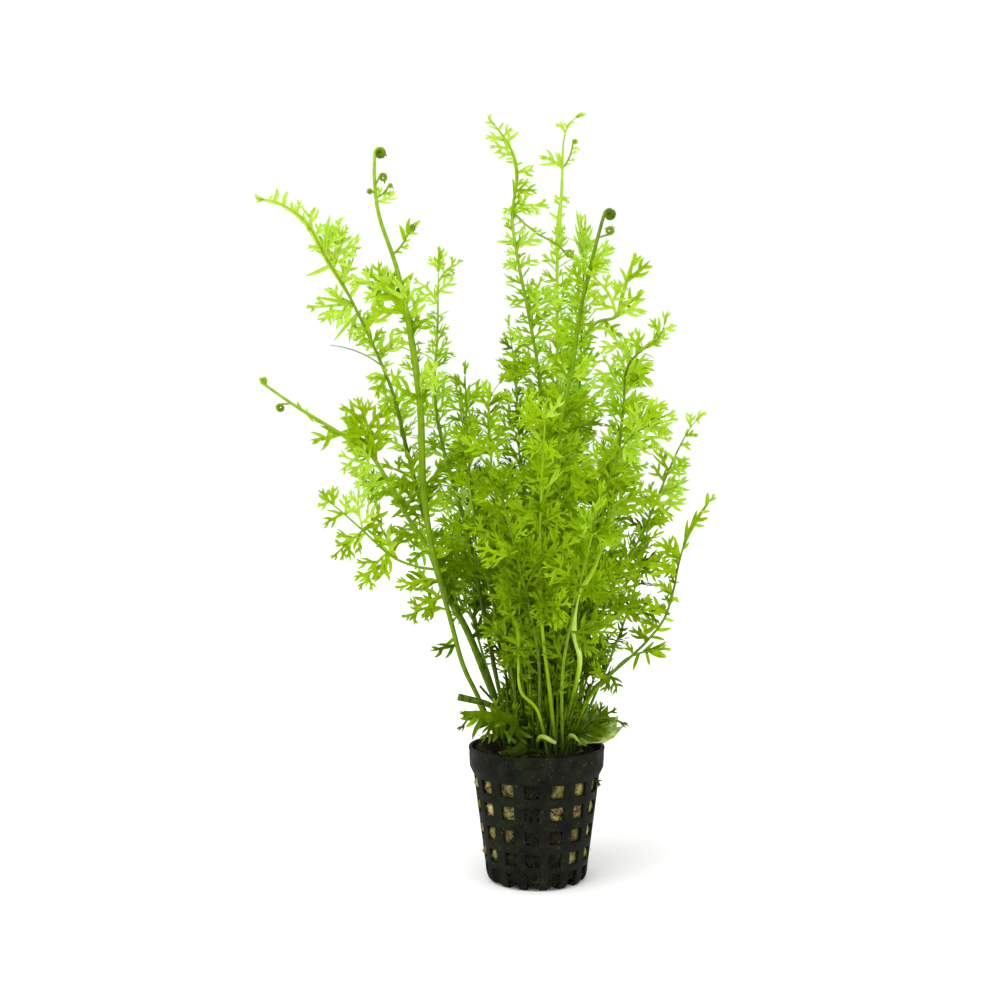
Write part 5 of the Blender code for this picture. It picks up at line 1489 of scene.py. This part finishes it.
def add_lobe(points, faces, foot, angle, length, bend, rings):
    """Add one blade to a leaflet: four points round each ring, from broad foot to pointed tip."""
    first = len(points)
    spot = foot
    last_t = 0.0
    for t, width in rings + [(1.0, 0.0)]:
        heading = angle + bend * (t + last_t) / 2
        spot = spot + Vector((math.sin(heading), math.cos(heading), 0.0)) * length * (t - last_t)
        last_t = t
        if not width:
            points.append(spot)
            break
        across = Vector((math.cos(angle + bend * t), -math.sin(angle + bend * t), 0.0)) * width / 2
        low = spot - UP * LOBE_FOLD * width
        points += [spot - across, low, spot + across, low - UP * LOBE_THICKNESS * width]
    faces.append(tuple(first + corner for corner in (3, 2, 1, 0)))
    faces += ring_faces(first, len(rings), 4)
    last = len(points) - 5
    faces.extend((last + corner, last + (corner + 1) % 4, last + 4) for corner in range(4))


leaflet_shapes = bpy.data.collections.new("leaflet shapes")
for lobes, width in enumerate(LEAFLET_WIDTHS):
    for number in range(LEAFLET_SHAPES):
        shape_rng = random.Random(f"leaflet {lobes} {number}")
        shape_points = []
        shape_faces = []
        hand = 1 if number % 2 else -1
        main_bend = -hand * math.radians(shape_rng.uniform(-16, 58))
        add_lobe(
            shape_points, shape_faces, Vector((0.0, 0.0, 0.0)), -main_bend / 2, 1.0, main_bend,
            [(0.0, 0.85 * width), (0.30, width), (0.58, 0.90 * width), (0.82, 0.58 * width)],
        )
        for place, reach in LOBE_PLACES[lobes]:
            place += shape_rng.uniform(-0.05, 0.05)
            lean = math.radians(shape_rng.uniform(42, 68)) * hand
            foot = Vector((main_bend * (place * place - place) / 2, place, 0.0))
            add_lobe(
                shape_points, shape_faces, foot, lean, reach * shape_rng.uniform(0.8, 1.15),
                -lean * shape_rng.uniform(0.3, 1.3),
                [(0.0, 1.1 * width), (0.40, 0.95 * width), (0.74, 0.58 * width)],
            )
            hand = -hand
        curl = shape_rng.uniform(-0.40, 0.25)
        cup = shape_rng.uniform(-0.3, 0.45)
        mesh = bpy.data.meshes.new(f"leaflet_{lobes}{number}")
        mesh.from_pydata(
            [(x, y, z + curl * y * y + cup * abs(x)) for x, y, z in shape_points], [], shape_faces
        )
        mesh.materials.append(leaf_finish)
        shape = bpy.data.objects.new(mesh.name, mesh)
        add_values(shape, "along", [math.hypot(x, y) for x, y, z in shape_points])
        leaflet_shapes.objects.link(shape)

# A frond from its lines and leaflets: ridged tubes for the stalks, flat ribs, and a copy of one of the
# unit shapes for each leaflet
frond_tree, frond_in, frond_out = new_tree("frond", {
    "Stalk sides": "Int", "Ridge": "Float", "Rib flatness": "Float", "Leaflets": "Collection",
    "Stalk finish": "Material", "Leaf finish": "Material",
})
STALK, RIB, LEAFLET = 0.0, 1.0, 2.0


def is_kind(tree, kind):
    """Whether a point belongs to a stalk, to a rib or to a leaflet."""
    return output_of(tree, "FunctionNodeCompare", {
        0: stored(tree, "kind"), 1: kind, "Epsilon": 0.1,
    }, data_type="FLOAT", operation="EQUAL")


def part_of(tree, mesh, kind):
    """The points and edges of one kind."""
    return output_of(tree, "GeometryNodeSeparateGeometry", {
        "Geometry": mesh, "Selection": is_kind(tree, kind),
    }, "Selection", domain="POINT")


stalk_corner = maths(frond_tree, "MODULO", output_of(frond_tree, "GeometryNodeInputIndex"), 2.0)
stalk_profile = output_of(frond_tree, "GeometryNodeSetPosition", {
    "Geometry": circle_of(frond_tree, frond_in["Stalk sides"]),
    "Offset": output_of(frond_tree, "ShaderNodeVectorMath", {
        0: output_of(frond_tree, "GeometryNodeInputPosition"),
        "Scale": maths(frond_tree, "MULTIPLY", stalk_corner, frond_in["Ridge"]),
    }, operation="SCALE"),
})
stalk_curves = curve_of(frond_tree, part_of(frond_tree, frond_in["Mesh"], STALK))
finished_stalks = output_of(frond_tree, "GeometryNodeSetMaterial", {
    "Geometry": swept(frond_tree, stalk_curves, stalk_profile), "Material": frond_in["Stalk finish"],
})
rib_profile = output_of(frond_tree, "GeometryNodeTransform", {
    "Geometry": circle_of(frond_tree, 4),
    "Scale": output_of(
        frond_tree, "ShaderNodeCombineXYZ", {"X": 1.0, "Y": frond_in["Rib flatness"], "Z": 1.0}
    ),
})
rib_curves = output_of(frond_tree, "GeometryNodeSetCurveNormal", {
    "Curve": curve_of(frond_tree, part_of(frond_tree, frond_in["Mesh"], RIB)),
    "Normal": stored(frond_tree, "sideways", "FLOAT_VECTOR"),
}, mode="FREE")
frond_ribs = output_of(frond_tree, "GeometryNodeSetShadeSmooth", {
    "Geometry": swept(frond_tree, rib_curves, rib_profile), "Shade Smooth": False,
})
finished_ribs = output_of(frond_tree, "GeometryNodeSetMaterial", {
    "Geometry": frond_ribs, "Material": frond_in["Leaf finish"],
})
frond_leaflets = output_of(frond_tree, "GeometryNodeInstanceOnPoints", {
    "Points": part_of(frond_tree, frond_in["Mesh"], LEAFLET),
    "Instance": output_of(frond_tree, "GeometryNodeCollectionInfo", {
        "Collection": frond_in["Leaflets"], "Separate Children": True, "Reset Children": True,
    }),
    "Pick Instance": True,
    "Instance Index": stored(frond_tree, "shape"),
    "Rotation": stored(frond_tree, "turn", "FLOAT_VECTOR"),
    "Scale": stored(frond_tree, "size", "FLOAT_VECTOR"),
})
frond_join = frond_tree.nodes.new("GeometryNodeJoinGeometry")
for part in (finished_ribs, finished_stalks, frond_leaflets):
    frond_tree.links.new(part, frond_join.inputs[0])
end_tree(
    frond_tree, frond_join.outputs[0], frond_in["Stalk finish"], frond_out[0],
    Selection=is_kind(frond_tree, STALK),
)

# Both leaf and stalk have the slow mottling of a growing plant
mottle, mottle_in, mottle_out = new_shader_group(
    "mottle", {"Tone": "Float", "Amount": "Float"}, {"Tone": "Float"},
)
mottle_place = output_of(mottle, "ShaderNodeTexCoord", output="Object")
mottle_wide, mottle_fine = (
    output_of(mottle, "ShaderNodeTexNoise", {
        "Vector": mottle_place, "Scale": scale, "Detail": detail,
    }, "Fac")
    for scale, detail in ((45.0, 2.0), (420.0, 3.0))
)
mottle_swing = maths(mottle, "SUBTRACT", maths(mottle, "ADD", mottle_wide, mottle_fine), 1.0)
mottle.links.new(
    maths(mottle, "MULTIPLY_ADD", mottle_swing, mottle_in["Amount"], mottle_in["Tone"]), mottle_out[0]
)

# Leaf and stalk are both made darker near the pot's rim, up to a ragged line
grime, rim_darkening_in, rim_darkening_out = new_shader_group("grime", {"Clean from": "Float"}, {"Dirty": "Float"})
rim_darkening_place = output_of(grime, "ShaderNodeTexCoord", output="Object")
rim_darkening_height = output_of(grime, "ShaderNodeSeparateXYZ", {0: rim_darkening_place}, "Z")
ragged_height = maths(grime, "MULTIPLY_ADD", object_noise(grime, 330.0), -0.012, rim_darkening_height)
rim_darkening_share = output_of(grime, "ShaderNodeMapRange", {
    "Value": ragged_height, "From Min": 0.043, "From Max": rim_darkening_in["Clean from"],
    "To Min": 0.85, "To Max": 0.0,
})
grime.links.new(rim_darkening_share, rim_darkening_out[0])


def darkened_near_rim(tree, colour, unchanged_from):
    """A colour that is darker at the pot's rim and unchanged from a height in metres up."""
    darkened_share = output_of(tree, "ShaderNodeGroup", {"Clean from": unchanged_from}, node_tree=grime)
    return blend_colours(tree, darkened_share, colour, (0.018, 0.022, 0.006))


def mottled(tree, amount):
    """The tone that the points of the mesh have, unevenly mottled by an amount."""
    return output_of(tree, "ShaderNodeGroup", {
        "Tone": point_value(tree, "tone"), "Amount": amount,
    }, "Tone", node_tree=mottle)


def let_light_through(tree, shader, share, colour):
    """Make a finish thin: a share of its light comes through from behind, in a colour."""
    through = output_of(tree, "ShaderNodeBsdfTranslucent", {"Color": colour})
    both = output_of(tree, "ShaderNodeMixShader", {0: share, 1: shader.outputs[0], 2: through})
    tree.links.new(both, tree.nodes["Material Output"].inputs["Surface"])


leaf_green = ramp(
    leaf_tree, mottled(leaf_tree, 0.55),
    (0.0, (0.075, 0.140, 0.0)), (0.3, (0.200, 0.340, 0.0)), (0.55, (0.370, 0.560, 0.002)),
    (0.8, (0.450, 0.675, 0.008)), (1.0, (0.620, 0.810, 0.100)),
)
leaf_tips = blend_colours(
    leaf_tree, ramp(leaf_tree, point_value(leaf_tree, "along"), (0.6, 0.0), (1.0, 0.45)),
    leaf_green, (0.54, 0.76, 0.03),
)
leaf_spotted_and_darkened = darkened_near_rim(leaf_tree, blend_colours(
    leaf_tree, ramp(leaf_tree, object_noise(leaf_tree, 260.0, 2.0), (0.66, 0.0), (0.76, 0.7)),
    leaf_tips, (0.30, 0.22, 0.03),
), 0.054)
leaf_tree.links.new(leaf_spotted_and_darkened, leaf_shader.inputs["Base Color"])
roughen(leaf_tree, leaf_shader, object_noise(leaf_tree, 1800.0, 2.0), 0.3, 0.0002)
let_light_through(
    leaf_tree, leaf_shader, 0.45, blend_colours(leaf_tree, 0.4, leaf_spotted_and_darkened, (0.66, 0.90, 0.0))
)

stalk_streaks = ramp(
    stalk_tree, object_noise(stalk_tree, 1000.0, 2.0, (1.0, 1.0, 0.06)), (0.35, 0.0), (0.7, 1.0)
)
stalk_green = ramp(
    stalk_tree, mottled(stalk_tree, 0.30),
    (0.0, (0.016, 0.032, 0.001)), (0.2, (0.060, 0.120, 0.0)), (0.45, (0.170, 0.310, 0.0)),
    (0.7, (0.370, 0.570, 0.015)), (1.0, (0.600, 0.780, 0.170)),
)
stalk_streaked = blend_colours(
    stalk_tree, maths(stalk_tree, "MULTIPLY", stalk_streaks, 0.3), stalk_green, (0.30, 0.47, 0.01)
)
stalk_tree.links.new(darkened_near_rim(stalk_tree, stalk_streaked, 0.060), stalk_shader.inputs["Base Color"])
stalk_ridges = object_noise(stalk_tree, 1600.0, 2.0, (1.0, 1.0, 0.08))
roughen(stalk_tree, stalk_shader, stalk_ridges, 0.45, 0.0003)


def dressed(name, growth):
    """The mesh object of everything that has grown, from the frond tree."""
    points = []
    edges = []
    values = {"kind": [], "thickness": [], "tone": [], "shape": []}
    vectors = {"sideways": [], "turn": [], "size": []}

    def put(point, kind, thickness, tone, shape, sideways, turn, size):
        """Add a point with all that the frond tree reads from it."""
        points.append(tuple(point * MM))
        for key, number in zip(values, (kind, thickness, tone, shape)):
            values[key].append(number)
        for key, vector in zip(vectors, (sideways, turn, size)):
            vectors[key].append(tuple(vector))

    for line, radii, tones, sides in growth.lines:
        kind = STALK if sides[0] is FRONT else RIB
        edges += [(len(points) + step, len(points) + step + 1) for step in range(len(line) - 1)]
        for point, radius, tone, side in zip(line, radii, tones, sides):
            put(point, kind, radius * MM, tone, 0.0, side, FRONT, FRONT)
    for start, turn, size, shape, tone in growth.leaflets:
        put(start, LEAFLET, 0.0, tone, float(shape), FRONT, turn, Vector(size) * MM)
    mesh = bpy.data.meshes.new(name)
    mesh.from_pydata(points, edges, [])
    made = put_in_scene(name, mesh)
    for key, numbers in values.items():
        add_values(made, key, numbers)
    for key, numbers in vectors.items():
        add_values(made, key, numbers, "FLOAT_VECTOR")
    grown_by(frond_tree, made, **{
        "Stalk sides": 12, "Ridge": -0.12, "Rib flatness": 0.22, "Leaflets": leaflet_shapes,
        "Stalk finish": stalk_finish, "Leaf finish": leaf_finish,
    })
    for key in ("kind", "thickness", "shape", "sideways", "turn", "size"):
        if key in made.data.attributes:
            made.data.attributes.remove(made.data.attributes[key])
    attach(made, "root")
    return made


for spec in FRONDS.values():
    for point in smooth_through([seen(*place) for place in spec.route]):
        if spec.clear and spec.clear[0] < shown_at(point).z < spec.clear[1]:
            clear_places.append((shown_at(point), point.y))
for name, spec in FRONDS.items():
    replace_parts(dressed(f"{name}_grown", grow_frond(name, spec)), name)


# Old leaf: a broad pale one leans out over the right of the rim. It is thin, pleated along its veins
# and toothed at its edge, and light comes through it. It grows from the same stock as the others.
FAN_FOOT = seen(13.5, 49.5, -8)
FAN_TIPS = [
    (26.0, 51.0, -14), (29.5, 53.5, -15), (33.5, 57.5, -15), (30.5, 57.5, -14), (31.5, 61.5, -13),
    (27.5, 60.5, -12), (27.5, 65.5, -11), (24.0, 63.0, -10), (23.0, 67.5, -9), (20.5, 63.5, -8),
    (19.0, 66.0, -7),
]
FAN_ROWS = 7
fan_points = []
for row in range(FAN_ROWS):
    share = 0.06 + 0.94 * row / (FAN_ROWS - 1)
    for number, tip in enumerate(FAN_TIPS):
        pleat = Vector((0.0, -1.6 if number % 2 else 0.9, 0.0)) * share
        droop = UP * 2.2 * share * (1 - share)
        fan_points.append(FAN_FOOT.lerp(seen(*tip), share) + pleat + droop)
fan_faces = ring_faces(0, FAN_ROWS, len(FAN_TIPS), closed=False)
sage_finish, sage_tree, sage_shader = new_finish("old_leaf_sage", 0.6, 0.15)
sage_green = ramp(
    sage_tree, object_noise(sage_tree, 240.0, 5.0),
    (0.34, (0.220, 0.360, 0.040)), (0.48, (0.430, 0.600, 0.120)), (0.62, (0.660, 0.800, 0.300)),
)
sage_veined = blend_colours(
    sage_tree,
    ramp(sage_tree, object_noise(sage_tree, 900.0, 2.0, (0.35, 1.0, 1.0)), (0.5, 0.0), (0.62, 0.6)),
    sage_green, (0.78, 0.88, 0.48),
)
sage_tree.links.new(sage_veined, sage_shader.inputs["Base Color"])
roughen(sage_tree, sage_shader, object_noise(sage_tree, 1300.0), 0.5, 0.0003)
let_light_through(sage_tree, sage_shader, 0.5, sage_veined)
old_leaf = add_piece("old_leaf_fan", fan_points, fan_faces, sage_finish)
old_leaf_body = old_leaf.modifiers.new("body", "SOLIDIFY")
old_leaf_body.thickness = 0.22 * MM
old_leaf_body.offset = 0.0
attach(old_leaf, "root")


# Low shoots: a crowd of young stalks with small leaves stands between the feet of the fronds, too
# many and too small for solids. They grow from the crown, in the shade, and are dark green.
SHOOTS = 136
SHORT_SHOOTS = 78
shoots = Growth(-0.12)
shoot_rng = random.Random("low shoots")
planted = 0
while planted < SHOOTS:
    short = planted < SHORT_SHOOTS
    angle = shoot_rng.uniform(math.pi if planted % 2 else 0, 2 * math.pi)
    spread = 14.5 * math.sqrt(shoot_rng.random())
    foot = Vector((*round_crown(spread, angle), crown_height(spread) - 0.6))
    height = shoot_rng.uniform(7, 25) if short else shoot_rng.uniform(26, 78)
    lean = Vector((foot.x - CROWN_CENTRE[0], foot.y - CROWN_CENTRE[1], 0.0)) * height * 0.014
    lean += Vector((shoot_rng.uniform(-1, 1), shoot_rng.uniform(-1, 1), 0.0)) * height * 0.08
    top = foot + lean + UP * height
    if not in_crowd(top):
        continue
    route = smooth_through([foot, foot + lean * 0.3 + UP * height * 0.5, top], 5)
    stalk = Line(route)
    thickness = shoot_rng.uniform(0.45, 0.85)
    shoots.stalk(
        route, [thickness * (1 - 0.5 * step / len(route)) for step in range(len(route))],
        [shoot_rng.uniform(0.0, 0.42)] * len(route),
    )
    leafy = (0.2, 1.0, 8.0) if short else (0.64, 1.0, shoot_rng.uniform(8, 12))
    grow_crowd(shoots, stalk, stalk.length, leafy, shoot_rng, (16, 42), 0.0)
    planted += 1

# One leaf splinter sticks out of a window at the right
splinter = seen(21.8, 36.9, -9.5)
splinter_way = (seen(24.8, 34.3, -9.5) - splinter).normalized()
shoots.leaflet(splinter, splinter_way, FRONT, 3.9, shoot_rng, 0.0, 1)
dressed("low_shoots", shoots)
for shape in list(leaflet_shapes.objects):
    bpy.data.objects.remove(shape)
bpy.data.collections.remove(leaflet_shapes)


# The studio: a pale floor under the pot, a white surround, two soft lamps at the front and a wide soft
# sun overhead. Nothing else shows.
floor_finish, floor_tree, floor_shader = new_finish("floor_pale", 0.85)
floor_tree.links.new(
    ramp(floor_tree, object_noise(floor_tree, 9.0), (0.3, (0.86, 0.86, 0.85)), (0.7, (0.89, 0.89, 0.88))),
    floor_shader.inputs["Base Color"],
)
FLOOR_REACH = 60000
floor_corners = [
    (x * FLOOR_REACH, y * FLOOR_REACH, -0.02) for x, y in ((-1, -1), (1, -1), (1, 1), (-1, 1))
]
floor = add_piece("floor", floor_corners, [(0, 1, 2, 3)], floor_finish)

surround = bpy.data.worlds.new("surround")
surround.use_nodes = True
surround_inputs = surround.node_tree.nodes["Background"].inputs
surround_inputs["Color"].default_value = (1.0, 1.0, 1.0, 1.0)
surround_inputs["Strength"].default_value = 1.0
bpy.context.scene.world = surround
bpy.context.scene.view_settings.view_transform = "Standard"


def soft_light(name, place, size, power):
    """A square lamp that faces the middle of the plant."""
    lamp = bpy.data.lights.new(name, "AREA")
    lamp.size = size
    lamp.energy = power
    made = put_in_scene(name, lamp)
    made.location = place
    made.rotation_euler = (Vector((0.0, 0.0, 0.14)) - Vector(place)).to_track_quat("-Z", "Y").to_euler()


soft_light("light_left", (-0.9, -0.9, 1.0), 0.8, 4.0)
soft_light("light_right", (1.0, -0.6, 0.7), 0.8, 2.0)
overhead = bpy.data.lights.new("light_overhead", "SUN")
overhead.energy = 1.6
overhead.angle = math.radians(60)
overhead_holder = put_in_scene("light_overhead", overhead)
overhead_holder.rotation_euler = (math.radians(18), math.radians(-12), 0.0)

# The camera stands level, 0.48 m in front of the pot's middle
eye = bpy.data.cameras.new("camera")
eye.sensor_width = 36.0
eye.lens = 45.126
eye.clip_start = 0.01
camera = put_in_scene("camera", eye)
camera.location = EYE * MM
camera.rotation_euler = (math.pi / 2, 0.0, 0.0)
bpy.context.scene.camera = camera
